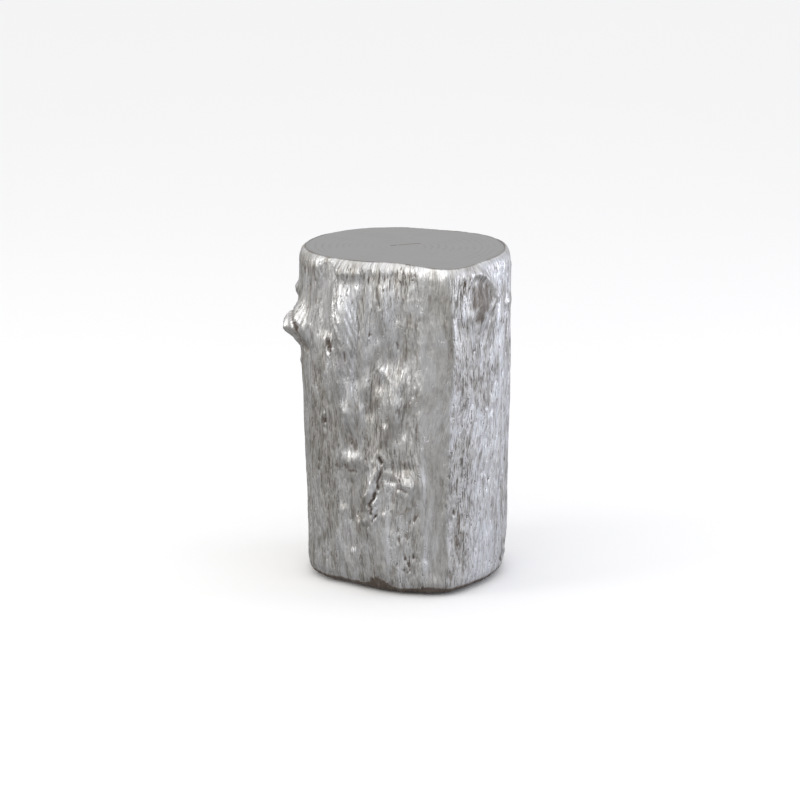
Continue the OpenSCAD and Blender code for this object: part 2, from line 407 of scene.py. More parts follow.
@dataclass(frozen=True)
class RawLaminate:
    """Bare glass-fibre laminate on the inside of the casting."""

    resin: Colour = (0.33, 0.27, 0.17)
    strand: Colour = (0.52, 0.47, 0.34)

    def make(self, name: str = "raw_laminate") -> bpy.types.Material:
        """Builds the material."""
        paint = Paint(name)
        place = paint.place()
        bend = paint.noise(place, (9, 9, 9), 1.0, 0.5, 0.0, 1.0)
        strands = paint.noise(place, (1.2, 14, 14), 2.0, 0.6, 2.2, 4.0)
        other = paint.noise(place, (14, 1.2, 11), 2.0, 0.6, 2.2, 14.0)
        mat = strands.step(0.45, 0.65).most(other.step(0.48, 0.66))
        paint.set(
            Base_Color=paint.blend(mat * 0.8, self.resin, self.strand),
            Roughness=bend * 0.25 + 0.32,
            Normal=paint.relief(mat * 0.6 + bend * 0.4, 0.7),
        )
        return paint.material


class WoodCut(Enum):
    """How a wooden piece is sawn, which sets the way its grain runs."""

    PLY = "ply"
    POST = "post"


@dataclass(frozen=True)
class BareWood:
    """Unfinished wood of the inner frame."""

    cut: WoodCut
    pale: Colour
    late: Colour
    ply: float = 1.8

    def make(self, name: str) -> bpy.types.Material:
        """Builds the material."""
        paint = Paint(name)
        place = paint.place()
        size = (90.0, 3.5, 3.5) if self.cut is WoodCut.PLY else (5.0, 5.0, 160.0)
        figure = paint.noise(place, size, 3.0, 0.55, 0.6, 2.0)
        pores = paint.noise(place, tuple(s * 0.25 for s in size), 2.0, 0.6, 0.0, 7.0)
        late = figure.step(0.42, 0.68) * 0.8 + pores.step(0.55, 0.8) * 0.3
        if self.cut is WoodCut.PLY:
            up = paint.node("ShaderNodeSeparateXYZ", None, {0: place})["Z"]
            bands = paint.node("ShaderNodeMath", {"operation": "PINGPONG"}, {0: up / MM, 1: self.ply})[0]
            normal = paint.node("ShaderNodeNewGeometry")["Normal"]
            facing = paint.node("ShaderNodeSeparateXYZ", None, {0: normal})["Z"]
            edge = 1.0 - abs(facing).step(0.3, 0.8)
            late = late * (1.0 - edge * 0.7) + (bands / self.ply).step(0.4, 0.6) * edge * 0.7
        paint.set(
            Base_Color=paint.blend(late.clipped(), self.pale, self.late),
            Roughness=figure * 0.2 + 0.52,
            Normal=paint.relief(pores * 0.7 + figure * 0.3, 0.25),
        )
        return paint.material


@dataclass(frozen=True)
class StainedBoard:
    """Dark stained fibreboard of the base panel."""

    stain: Colour = (0.035, 0.028, 0.022)
    fibre: Colour = (0.085, 0.066, 0.050)

    def make(self, name: str = "stained_fibreboard") -> bpy.types.Material:
        """Builds the material."""
        paint = Paint(name)
        place = paint.place()
        cloud = paint.noise(place, (60, 60, 60), 3.0, 0.6, 0.5, 1.0)
        fleck = paint.noise(place, (1.5, 1.5, 1.5), 3.0, 0.7, 0.8, 6.0)
        paint.set(
            Base_Color=paint.blend(fleck.step(0.45, 0.75) * 0.7 + cloud * 0.3, self.stain, self.fibre),
            Roughness=cloud * 0.2 + 0.5,
            Normal=paint.relief(fleck, 0.12),
        )
        return paint.material


@dataclass(frozen=True)
class PlatedSteel:
    """Zinc-plated steel of screws, tee nuts and stems."""

    plate: Colour
    dull: Colour

    def make(self, name: str) -> bpy.types.Material:
        """Builds the material."""
        paint = Paint(name)
        place = paint.place()
        spangle = paint.noise(place, (4, 4, 4), 2.0, 0.5, 0.6, 4.0)
        rub = paint.noise(place, (0.5, 0.5, 3.0), 2.0, 0.6, 0.0, 12.0)
        paint.set(
            Base_Color=paint.blend(spangle.step(0.35, 0.75), self.plate, self.dull),
            Metallic=1.0,
            Roughness=spangle * 0.18 + rub * 0.14 + 0.18,
            Normal=paint.relief(rub, 0.03),
        )
        return paint.material


@dataclass(frozen=True)
class MouldedPlastic:
    """Nylon of the glide feet and rubber of their soles."""

    base: Colour
    bloom: Colour
    roughness: float
    grain: float

    def make(self, name: str) -> bpy.types.Material:
        """Builds the material."""
        paint = Paint(name)
        place = paint.place()
        grain = paint.noise(place, (self.grain,) * 3, 2.0, 0.5, 0.0, 3.0)
        cloud = paint.noise(place, (8, 8, 8), 2.0, 0.5, 0.0, 9.0)
        paint.set(
            Base_Color=paint.blend(cloud.step(0.4, 0.8) * 0.6, self.base, self.bloom),
            Roughness=cloud * 0.15 + self.roughness,
            Normal=paint.relief(grain, 0.05),
        )
        return paint.material


@dataclass(frozen=True)
class StudioFloor:
    """Matt pale floor of the studio."""

    tone: Colour = (0.945, 0.945, 0.945)
    shade: Colour = (0.83, 0.83, 0.835)

    def make(self, name: str = "studio_floor") -> bpy.types.Material:
        """Builds the material."""
        paint = Paint(name)
        soft = paint.noise(paint.place(), (900, 900, 900), 1.0, 0.5, 0.0, 1.0)
        paint.set(Base_Color=paint.blend(soft * 0.1, self.tone, self.shade), Roughness=0.9)
        return paint.material


# ---------------------------------------------------------------------- the log


def between(first: np.ndarray, second: float) -> np.ndarray:
    """The signed angle from second to first, within half a turn."""
    return (first - second + 180.0) % 360.0 - 180.0


def eased(value: np.ndarray) -> np.ndarray:
    """A smooth step from 0 to 1."""
    held = np.clip(value, 0.0, 1.0)
    return held * held * (3.0 - 2.0 * held)


def resampled(values: np.ndarray, places: np.ndarray, wraps: bool) -> np.ndarray:
    """Reads a table between its rows with a smooth cubic.

    Args:
        values: the table, with one row for each whole place.
        places: where to read it, counted in rows.
        wraps: whether the last row joins the first.

    Returns:
        One row for each place.
    """
    rows = len(values)
    low = np.floor(places).astype(int)
    t = (places - low).reshape((-1,) + (1,) * (values.ndim - 1))

    def row(offset: int) -> np.ndarray:
        """The table's rows at that offset from each place."""
        index = (low + offset) % rows if wraps else np.clip(low + offset, 0, rows - 1)
        return values[index]

    a, b, c, d = row(-1), row(0), row(1), row(2)
    return b + 0.5 * t * (c - a + t * (2 * a - 5 * b + 4 * c - d + t * (3 * (b - c) + d - a)))


class Cut(Enum):
    """The cross-section of a mark in the bark."""

    SWELL = "swell"
    HOLLOW = "hollow"
    CRACK = "crack"
    CRATER = "crater"


@dataclass(frozen=True)
class Mark:
    """One feature of the bark along a path.

    path holds (bearing, height) points. Width and depth are in millimetres, and glaze is how much stain
    stays in the mark, from 0 to 1.
    """

    cut: Cut
    path: tuple[Place, ...]
    width: float
    depth: float
    glaze: float = 0.0


FRONT_MARKS: tuple[Mark, ...] = (
    # The broken branch on the left: its blunt tip, its folds and the shadow under it
    Mark(Cut.SWELL, ((-81, 382), (-78, 372), (-79, 358)), 8, 2.6),
    Mark(Cut.HOLLOW, ((-86, 374), (-84, 366)), 7, 4.6, 0.2),
    Mark(Cut.CRACK, ((-82, 376), (-79, 370), (-80, 364)), 2.0, 2.0, 0.7),
    Mark(Cut.CRACK, ((-85, 392), (-76, 388), (-71.5, 371), (-73, 353), (-80, 344)), 2.4, 2.4, 0.7),
    Mark(Cut.SWELL, ((-85, 352), (-82, 345)), 9, 3.5),
    Mark(Cut.SWELL, ((-91, 420), (-91, 413)), 4.5, 3.5),
    Mark(Cut.SWELL, ((-90, 312), (-90, 309)), 3, 2.6),
    Mark(Cut.SWELL, ((-76, 396), (-71, 376), (-70, 356)), 6, 3),
    Mark(Cut.HOLLOW, ((-78, 388), (-75, 370), (-76, 352)), 4, 2.6, 0.45),
    Mark(Cut.HOLLOW, ((-78, 342), (-72, 338)), 6, 3, 0.55),
    Mark(Cut.CRACK, ((-67, 372), (-66, 352)), 2.2, 1.4, 0.4),
    # Grey valley left of the shoulder, and the shoulder's own ribs
    Mark(Cut.HOLLOW, ((-54, 462), (-56, 420), (-54, 376)), 12, 8, 0.12),
    Mark(Cut.SWELL, ((-44, 464), (-36, 462), (-28, 464)), 9, 3.0),
    Mark(Cut.SWELL, ((-39, 402), (-36, 372), (-36, 336)), 20, 4.0),
    Mark(Cut.SWELL, ((-38, 426), (-36.5, 398), (-36, 358)), 12, 4.5),
    Mark(Cut.SWELL, ((-46, 448), (-45, 410), (-43, 372)), 5, 3.4),
    Mark(Cut.SWELL, ((-43, 388), (-41, 345), (-40, 306)), 16, 4.6),
    Mark(Cut.SWELL, ((-41, 458), (-39, 420), (-38, 372), (-38, 322)), 9, 3.2),
    Mark(Cut.SWELL, ((-30, 440), (-27, 405), (-24, 370)), 6, 2.2),
    Mark(Cut.SWELL, ((-14, 440), (-12, 400), (-10, 352)), 7, 2.4),
    Mark(Cut.HOLLOW, ((-24, 462), (-21, 438), (-19, 400), (-18, 372)), 6, 2, 0.1),
    Mark(Cut.HOLLOW, ((-8, 462), (-7, 430), (-6, 400)), 6, 1.8, 0.1),
    Mark(Cut.CRATER, ((-16, 424), (-15.5, 417)), 2.6, 2.0, 0.8),
    Mark(Cut.CRATER, ((-5, 366), (-5, 357)), 2.4, 1.8, 0.6),
    Mark(Cut.CRACK, ((-31, 402), (-29, 388), (-29.5, 376)), 1.8, 1.4, 0.55),
    # Pits with a swirled rim
    Mark(Cut.CRATER, ((-52.5, 356), (-50.5, 345)), 5.0, 4, 0.95),
    Mark(Cut.CRACK, ((-49, 360), (-48.5, 348), (-50, 338)), 2.2, 2.0, 0.8),
    Mark(Cut.CRATER, ((-56, 242), (-55.5, 238)), 3.4, 3.6, 1.0),
    Mark(Cut.CRATER, ((24.5, 124), (25, 119)), 2.8, 2.6, 0.8),
    Mark(Cut.CRACK, ((-37.5, 350), (-37, 338)), 1.8, 1.6, 0.8),
    # Hollow between the brows, leaning to the right as it falls
    Mark(Cut.HOLLOW, ((-23, 328), (-20, 300), (-23, 262)), 9, 5, 0.35),
    Mark(Cut.SWELL, ((-30, 390), (-28, 362), (-27, 338)), 10, 3.4),
    Mark(Cut.HOLLOW, ((-17.5, 318), (-17, 300)), 3.6, 2.2, 0.4),
    Mark(Cut.HOLLOW, ((-31, 310), (-30, 292), (-28, 276)), 8, 3.4, 0.1),
    Mark(Cut.SWELL, ((-39, 266), (-35, 256), (-35, 248)), 8, 3.8),
    Mark(Cut.SWELL, ((-46, 312), (-38, 298), (-16, 296), (-4, 304)), 26, 3.4),
    Mark(Cut.SWELL, ((-14, 322), (-9, 316), (-5, 304)), 8, 3.4),
    Mark(Cut.SWELL, ((-9, 312), (-7, 282), (-6.5, 252)), 6, 4),
    Mark(Cut.SWELL, ((-12, 240), (-12, 224)), 5.5, 3.4),
    Mark(Cut.HOLLOW, ((-5, 238), (-5, 226)), 5, 2.0),
    Mark(Cut.HOLLOW, ((-1, 300), (1, 262), (0, 236)), 6, 2, 0.2),
    Mark(Cut.SWELL, ((-38, 258), (-39.5, 232), (-39, 214)), 6, 2.6),
    # Round knot, with a stained pit over it and a fold under it, dark partly from glaze and partly from
    # painted shadow
    Mark(Cut.HOLLOW, ((-36, 218), (-33, 206)), 9, 2.2, 0.62),
    Mark(Cut.SWELL, ((-36.5, 182), (-36.5, 180)), 3.4, 2.4),
    Mark(Cut.SWELL, ((-36, 203), (-36, 196)), 7, 1.6),
    Mark(Cut.HOLLOW, ((-41, 178), (-37, 170), (-32, 173)), 3.6, 2.6, 0.75),
    Mark(Cut.SWELL, ((-31, 200), (-29, 190)), 3.2, 1.6),
    # The scar: a pit, a level ridge that ends in a knob, and a knobbly lip beside a broken crack
    Mark(Cut.CRATER, ((-16, 197), (-14.5, 191)), 3.6, 4.5, 0.95),
    Mark(Cut.SWELL, ((-19, 190), (-17, 182)), 3.4, 2.4),
    Mark(Cut.HOLLOW, ((-11, 182), (-4, 180), (3, 184)), 6.5, 1.6, 0.1),
    Mark(Cut.HOLLOW, ((2, 172), (3, 168)), 6, 1.8),
    Mark(Cut.HOLLOW, ((-11, 166), (-6, 164)), 4, 2.2, 0.4),
    Mark(Cut.HOLLOW, ((-2.5, 170), (-1, 164)), 1.6, 1.0, 0.3),
    Mark(Cut.HOLLOW, ((-4, 156), (0, 151)), 3.4, 2.8, 0.7),
    Mark(Cut.SWELL, ((-17.5, 178), (-19, 166)), 3.4, 5.0),
    Mark(Cut.SWELL, ((-20, 160), (-21, 146)), 3.4, 5.4),
    Mark(Cut.SWELL, ((-23, 142), (-26, 128), (-26.5, 114), (-25, 102)), 3.6, 5.0),
    Mark(Cut.HOLLOW, ((-24, 176), (-26, 150), (-30, 124), (-29, 104)), 3.4, 2.6, 0.35),
    Mark(Cut.CRACK, ((-20, 164), (-18.5, 160)), 1.6, 1.4, 0.5),
    Mark(Cut.CRACK, ((-22.5, 146), (-20.5, 143)), 1.6, 1.4, 0.5),
    Mark(Cut.CRATER, ((-15, 180), (-15, 176)), 2.2, 2.4, 0.7),
    Mark(Cut.CRACK, ((-15, 174), (-17, 162), (-16, 152)), 2.2, 2.6, 0.8),
    Mark(Cut.CRATER, ((-18, 146), (-18.5, 139)), 3.0, 3.6, 1.0),
    Mark(Cut.CRACK, ((-19, 137), (-22, 128), (-20, 122)), 2.6, 3.6, 1.0),
    Mark(Cut.SWELL, ((-18, 130), (-18.5, 118)), 2.8, 2.6),
    Mark(Cut.CRATER, ((-20.5, 118), (-20, 113)), 2.4, 3.0, 0.8),
    Mark(Cut.CRACK, ((-17, 114), (-20, 104)), 1.8, 2.2, 0.8),
    Mark(Cut.CRATER, ((-22.5, 97), (-22.5, 94)), 2.0, 2.2, 0.7),
    Mark(Cut.CRATER, ((-23, 82), (-23, 76)), 1.8, 1.8, 0.7),
    # Long smooth strip and the rib that bounds it
    Mark(Cut.HOLLOW, ((14, 470), (15, 240), (15, 30)), 10, 2.2),
    Mark(
        Cut.SWELL,
        ((18.5, 470), (21, 405), (22, 350), (20, 270), (21.5, 190), (19.5, 110), (22, 36)),
        4.5,
        3.0,
    ),
    Mark(Cut.HOLLOW, ((26.5, 400), (27, 270), (26.5, 90)), 6, 1.8),
    Mark(Cut.SWELL, ((8.0, 470), (8.8, 330), (8.2, 180), (9.0, 40)), 4.0, 2.2),
    # The burl under the crown: a falling ridge and a hollow below it, dark partly from glaze and partly from
    # painted shade of its underside
    Mark(Cut.SWELL, ((36, 468), (43, 457), (49, 442), (53, 427)), 5.5, 6.5),
    Mark(Cut.SWELL, ((52, 424), (50, 416)), 6, 3),
    Mark(Cut.HOLLOW, ((33, 446), (33, 424)), 12, 2.4, 0.55),
    Mark(Cut.HOLLOW, ((38, 448), (38, 426), (37, 404)), 13, 3.2, 0.6),
    Mark(Cut.HOLLOW, ((43, 444), (42, 416)), 12, 2.6, 0.6),
    Mark(Cut.HOLLOW, ((47, 436), (46, 424)), 9, 2.0, 0.55),
    Mark(Cut.HOLLOW, ((36, 410), (36, 400)), 5, 2, 0.62),
    Mark(Cut.HOLLOW, ((44, 408), (50, 398)), 5, 2.4, 0.3),
    Mark(Cut.SWELL, ((71, 411), (70, 407)), 4, 4.5),
    Mark(Cut.HOLLOW, ((68, 398), (70, 394)), 3, 2, 0.6),
    # Streaks and stains on the right flank
    Mark(Cut.CRACK, ((52, 246), (52.5, 222)), 2.0, 1.4, 0.6),
    Mark(Cut.HOLLOW, ((26, 82), (28, 46)), 7, 1.6, 0.42),
    Mark(Cut.HOLLOW, ((30, 150), (31, 100)), 6, 1.4, 0.25),
    Mark(Cut.CRACK, ((47, 158), (48, 130)), 2.0, 1.2, 0.5),
    Mark(Cut.HOLLOW, ((33, 330), (34, 270)), 5, 1.6, 0.15),
    Mark(Cut.CRATER, ((6, 252), (5.5, 240)), 2.6, 1.6, 0.6),
    Mark(Cut.HOLLOW, ((-9, 132), (-8, 96)), 7, 1.2, 0.3),
    # The foot: chips, a small curved cut and a notch
    Mark(Cut.CRACK, ((-1.5, 37), (1.0, 32), (3, 38)), 1.6, 1.4, 0.75),
    Mark(Cut.CRATER, ((-1, 58), (0, 50)), 2.2, 1.2, 0.7),
    Mark(Cut.CRATER, ((4, 60), (4, 52)), 1.8, 1.0, 0.5),
    Mark(Cut.HOLLOW, ((-22, 5), (-17, 14), (-10, 6)), 9, 3.4, 1.0),
    Mark(Cut.HOLLOW, ((4, 3), (13, 8), (20, 3)), 5.5, 2.4, 0.95),
    Mark(Cut.HOLLOW, ((72, 22), (76, 16)), 5, 3.5, 0.7),
    Mark(Cut.SWELL, ((76, 34), (78, 28)), 5, 2.5),
    Mark(Cut.SWELL, ((-43, 112), (-44, 64), (-40, 34)), 7, 2.4),
    Mark(Cut.HOLLOW, ((-36, 150), (-35, 60)), 6, 3.0, 0.3),
    Mark(Cut.SWELL, ((-30, 100), (-29, 40)), 6, 2.6),
    Mark(Cut.HOLLOW, ((-21, 70), (-20, 22)), 6, 2.2, 0.15),
    Mark(Cut.SWELL, ((-12, 112), (-11, 66), (-12, 30)), 7, 3.0),
    Mark(Cut.HOLLOW, ((-3, 140), (-2, 84)), 5, 1.8, 0.2),
    Mark(Cut.CRATER, ((-4, 82), (-3.5, 76)), 2.2, 1.6, 0.8),
    Mark(Cut.CRATER, ((1.5, 46), (2, 40)), 2.4, 1.6, 0.8),
    Mark(Cut.HOLLOW, ((-44, 168), (-43, 118)), 5, 2.0, 0.35),
)

BACK_MARKS: tuple[Mark, ...] = (
    # Knots, furrows and cracks of the side that faces away, and chips along its foot
    Mark(Cut.CRATER, ((132, 318), (131, 306)), 8, 5, 0.9),
    Mark(Cut.SWELL, ((118, 330), (126, 336), (138, 330)), 6, 3),
    Mark(Cut.CRACK, ((131, 300), (130, 262), (132, 226)), 2.8, 2.4, 0.9),
    Mark(Cut.HOLLOW, ((104, 440), (102, 330), (105, 210), (103, 90)), 9, 3),
    Mark(Cut.SWELL, ((94, 450), (93, 300), (95, 120)), 5, 2.2),
    Mark(Cut.CRATER, ((196, 174), (195, 166)), 7, 4.5, 1.0),
    Mark(Cut.SWELL, ((186, 190), (196, 196), (206, 188)), 6, 3),
    Mark(Cut.CRACK, ((196, 160), (198, 120), (195, 78)), 2.8, 2.2, 0.8),
    Mark(Cut.HOLLOW, ((160, 460), (158, 330), (162, 180), (160, 60)), 10, 3),
    Mark(Cut.SWELL, ((172, 452), (171, 350), (174, 240)), 6, 2.4),
    Mark(Cut.CRACK, ((150, 200), (151, 150)), 2.4, 2, 0.8),
    Mark(Cut.CRATER, ((238, 386), (237, 378)), 6.5, 4.5, 0.9),
    Mark(Cut.SWELL, ((232, 404), (240, 402), (246, 392)), 5, 2.6),
    Mark(Cut.HOLLOW, ((222, 350), (220, 250), (224, 130)), 8, 2.6, 0.15),
    Mark(Cut.SWELL, ((212, 460), (211, 340), (214, 230), (212, 60)), 6, 2.4),
    Mark(Cut.CRACK, ((250, 250), (252, 204), (250, 168)), 2.6, 2.2, 0.8),
    Mark(Cut.HOLLOW, ((264, 300), (262, 190), (265, 80)), 8, 2.4),
    Mark(Cut.CRACK, ((84, 300), (85, 262)), 2.4, 1.8, 0.7),
    Mark(Cut.HOLLOW, ((150, 6), (158, 4), (168, 7)), 6, 3.5, 1.0),
    Mark(Cut.HOLLOW, ((228, 5), (236, 7)), 5, 3, 1.0),
    Mark(Cut.HOLLOW, ((106, 4), (112, 7)), 5, 3, 1.0),
)


@dataclass(frozen=True)
class Patch:
    """A soft-edged oval on the bark, half_width in degrees and half_height in millimetres."""

    bearing: float
    height: float
    half_width: float
    half_height: float
    amount: float

    def at(self, bearing: np.ndarray, height: np.ndarray) -> np.ndarray:
        """The patch's value at each point."""
        across = between(bearing, self.bearing) / self.half_width
        along = (height - self.height) / self.half_height
        return self.amount * np.exp(-(across**2) - along**2)


# Painted light and shade on the leaf: an amount above 0 is a painted highlight that brightens it, and below
# 0 painted shade that darkens and dulls it
PAINTED_LIGHT_AND_SHADE: tuple[Patch, ...] = (
    Patch(-37, 385, 9, 62, 1.0),
    Patch(-28, 352, 6, 34, 0.8),
    Patch(-36, 258, 5, 20, 0.9),
    Patch(-9, 290, 6, 40, 0.7),
    Patch(-43, 65, 4, 55, 0.8),
    Patch(-11, 60, 5, 50, 0.5),
    Patch(56, 170, 8, 200, 0.6),
    Patch(32, 140, 9, 105, -0.85),
    Patch(32, 330, 7, 60, -0.45),
    Patch(-13, 460, 19, 14, -1.0),
    Patch(-70, 462, 14, 12, -0.8),
    Patch(-46, 310, 8, 60, 1.0),
    Patch(-30, 330, 8, 30, 0.8),
    Patch(-16, 352, 6, 30, 0.8),
    Patch(-14, 270, 8, 22, 0.5),
    Patch(-68, 190, 20, 190, -0.4),
    Patch(-22, 180, 9, 70, -0.3),
    Patch(3, 120, 9, 90, -0.2),
    Patch(-21, 300, 4, 24, -0.8),
    Patch(-20.5, 150, 3, 26, 1.0),
    Patch(8.5, 300, 2.2, 190, 0.8),
    Patch(16, 330, 7, 48, 0.9),
    Patch(19, 110, 7, 90, 0.5),
    Patch(7, 75, 7, 40, 0.6),
    Patch(-5, 70, 7, 40, 0.5),
    Patch(-20, 85, 7, 55, 0.8),
    Patch(50, 330, 9, 95, -0.5),
    Patch(7, 220, 6, 40, -0.7),
    Patch(-6, 180, 7, 30, -0.6),
)

# Where the bark is smooth: the valley, the broken branch, the burl, the scar's lip, the lobe and the nose
SMOOTH: tuple[Patch, ...] = (
    Patch(-55, 415, 8.0, 48.0, 0.6),
    Patch(-76, 374, 9.0, 24.0, 0.7),
    Patch(41, 426, 8.5, 26.0, 0.9),
    Patch(-20, 150, 3.0, 26.0, 0.8),
    Patch(-38, 402, 4.5, 34.0, 0.55),
    Patch(-7, 236, 5.0, 24.0, 0.6),
)

# Knots that the grain flows round: bearing, then height, half width and half length in millimetres
KNOTS: tuple[tuple[float, float, float, float], ...] = (
    (-78, 369, 22, 42),
    (-36, 188, 12, 26),
    (-51, 349, 9, 20),
    (-56, 240, 8, 18),
    (-15, 193, 10, 24),
    (1, 168, 11, 22),
    (40, 417, 24, 40),
    (-34, 268, 13, 32),
    (132, 306, 20, 44),
    (196, 172, 18, 40),
    (238, 383, 17, 36),
)


@dataclass
class LogForm:
    """The log's shape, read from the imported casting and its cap."""

    columns: int = 72
    levels: int = 66
    axis: tuple[float, float] = (0.0, 0.0)
    bottom: float = 0.0
    height: float = 0.0
    cap_bottom: float = 0.0
    foot_roll: float = 20.0
    crown_roll: float = 8.0
    outer: np.ndarray = field(default_factory=lambda: np.zeros((0, 0)))
    inner: np.ndarray = field(default_factory=lambda: np.zeros((0, 0)))
    seam: np.ndarray = field(default_factory=lambda: np.zeros(0))
    opening: np.ndarray = field(default_factory=lambda: np.zeros(0))
    flange: float = 13.0
    lining_low: float = 0.35
    lining_high: float = 0.65

    @classmethod
    def read(cls, nodes: Mapping[str, bpy.types.Object]) -> "LogForm":
        """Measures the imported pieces.

        Args:
            nodes: the frame's nodes.

        Returns:
            The log's form, in millimetres from its own axis and lower edge.
        """
        form = cls()
        front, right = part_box("glide_sole_1"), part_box("glide_sole_2")
        form.axis = ((front[0].x + front[1].x) / 2, (right[0].y + right[1].y) / 2)
        low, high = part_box("bark_shell")
        form.bottom, form.height = low.z, (high.z - low.z) / MM
        form.cap_bottom = (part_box("top_cap")[0].z - low.z) / MM
        form.flange = (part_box("base_ring")[0].z - low.z) / MM
        mesh = nodes["bark_shell"].data
        corners, faces = [v.co for v in mesh.vertices], [tuple(p.vertices) for p in mesh.polygons]
        tree = BVHTree.FromPolygons(corners, faces)
        side = np.linspace(form.foot_roll, form.height - form.crown_roll, form.levels)
        form.outer = form._radii(tree, side, inwards=True)
        middle = (form.height * form.lining_low, form.height * form.lining_high)
        lining = np.array([form.flange + 1.0, *middle, form.cap_bottom - 2.0])
        form.inner = form._radii(tree, lining, inwards=False)
        form.opening = form._radii(tree, np.array([form.flange / 2]), inwards=False)[0]
        halfway = (form.height + form.cap_bottom) / 2
        form.seam = form._radii(tree, np.array([halfway]), inwards=False)[0]
        return form

    def _radii(self, tree: BVHTree, heights: np.ndarray, inwards: bool) -> np.ndarray:
        """Casts rays at the log.

        Args:
            tree: the casting's faces.
            heights: heights to measure at.
            inwards: True to measure the skin, and False the lining.

        Returns:
            A radius for each height and bearing.
        """
        radii = np.zeros((len(heights), self.columns))
        for j, height in enumerate(heights):
            for i in range(self.columns):
                angle = math.radians(i * 360.0 / self.columns + 0.01)
                out = Vector((math.sin(angle), -math.cos(angle), 0.0))
                centre = Vector((*self.axis, self.bottom + height * MM))
                start, way = (centre + out * 0.4, -out) if inwards else (centre, out)
                hit = tree.ray_cast(start, way)[0]
                radii[j, i] = (hit - centre).length / MM
        return radii

    def skin(self, bearings: np.ndarray, heights: np.ndarray) -> np.ndarray:
        """The skin's radius.

        Args:
            bearings: one bearing for each column.
            heights: one height for each row.

        Returns:
            A radius for each row and column.
        """
        span = self.height - self.crown_roll - self.foot_roll
        rows = (heights - self.foot_roll) / span * (self.levels - 1)
        by_height = resampled(self.outer, np.clip(rows, 0, self.levels - 1.0), wraps=False)
        return self.round(by_height.T, bearings).T

    def round(self, values: np.ndarray, bearings: np.ndarray) -> np.ndarray:
        """Reads a list of radii, one for each measured column, at other bearings."""
        return resampled(values, bearings / 360.0 * self.columns, wraps=True)

    def point(self, bearing: np.ndarray, radius: np.ndarray, height: np.ndarray) -> np.ndarray:
        """Places on the log, in metres."""
        angle = np.radians(bearing)
        return np.stack(
            [
                self.axis[0] + radius * np.sin(angle) * MM,
                self.axis[1] - radius * np.cos(angle) * MM,
                self.bottom + height * MM + 0.0 * angle,
            ],
            axis=-1,
        )


@dataclass
class BarkRelief:
    """Works out how far each mark lifts or sinks the bark, and how much glaze stays in it."""

    marks: Sequence[Mark]

    @staticmethod
    def _distance(bearing: np.ndarray, height: np.ndarray, path: Sequence[Place]) -> np.ndarray:
        """The distance in millimetres over the surface to a path."""
        middle = path[0][0]
        s = between(bearing, middle) * PER_DEGREE
        best = np.full(bearing.shape, np.inf)
        for (b0, h0), (b1, h1) in zip(path, path[1:]):
            s0, s1 = (b0 - middle) * PER_DEGREE, (b1 - middle) * PER_DEGREE
            run, rise = s1 - s0, h1 - h0
            along = np.clip(((s - s0) * run + (height - h0) * rise) / (run * run + rise * rise), 0, 1)
            best = np.minimum(best, np.hypot(s - s0 - along * run, height - h0 - along * rise))
        return best

    def work(self, bearing: np.ndarray, height: np.ndarray) -> tuple[np.ndarray, np.ndarray]:
        """Adds up all marks.

        Args:
            bearing: bearings of the surface's points.
            height: their heights.

        Returns:
            The lift in millimetres and the glaze from 0 to 1.
        """
        lift, glaze = np.zeros(bearing.shape), np.zeros(bearing.shape)
        ragged = 0.5 * np.sin(height * 0.9 + 3.1 * np.sin(bearing * 0.8))
        ragged = ragged + 0.5 * np.sin(bearing * 2.3 + height * 0.31)
        for mark in self.marks:
            x = (self._distance(bearing, height, mark.path) + ragged * 0.18 * mark.width) / mark.width
            x = np.maximum(x, 0.0)
            bell = np.exp(-x * x)
            if mark.cut is Cut.SWELL:
                lift += mark.depth * bell
            elif mark.cut is Cut.HOLLOW:
                lift -= mark.depth * bell
            elif mark.cut is Cut.CRACK:
                lift += mark.depth * (0.45 * np.exp(-((x - 1.9) ** 2)) - np.exp(-((x * 1.15) ** 2)))
            else:
                lift += mark.depth * (0.42 * np.exp(-(((x - 1.45) / 0.55) ** 2)) - np.exp(-(x**3)))
            glaze = np.maximum(glaze, mark.glaze * np.exp(-((x / 0.95) ** 2)))
        return lift, glaze


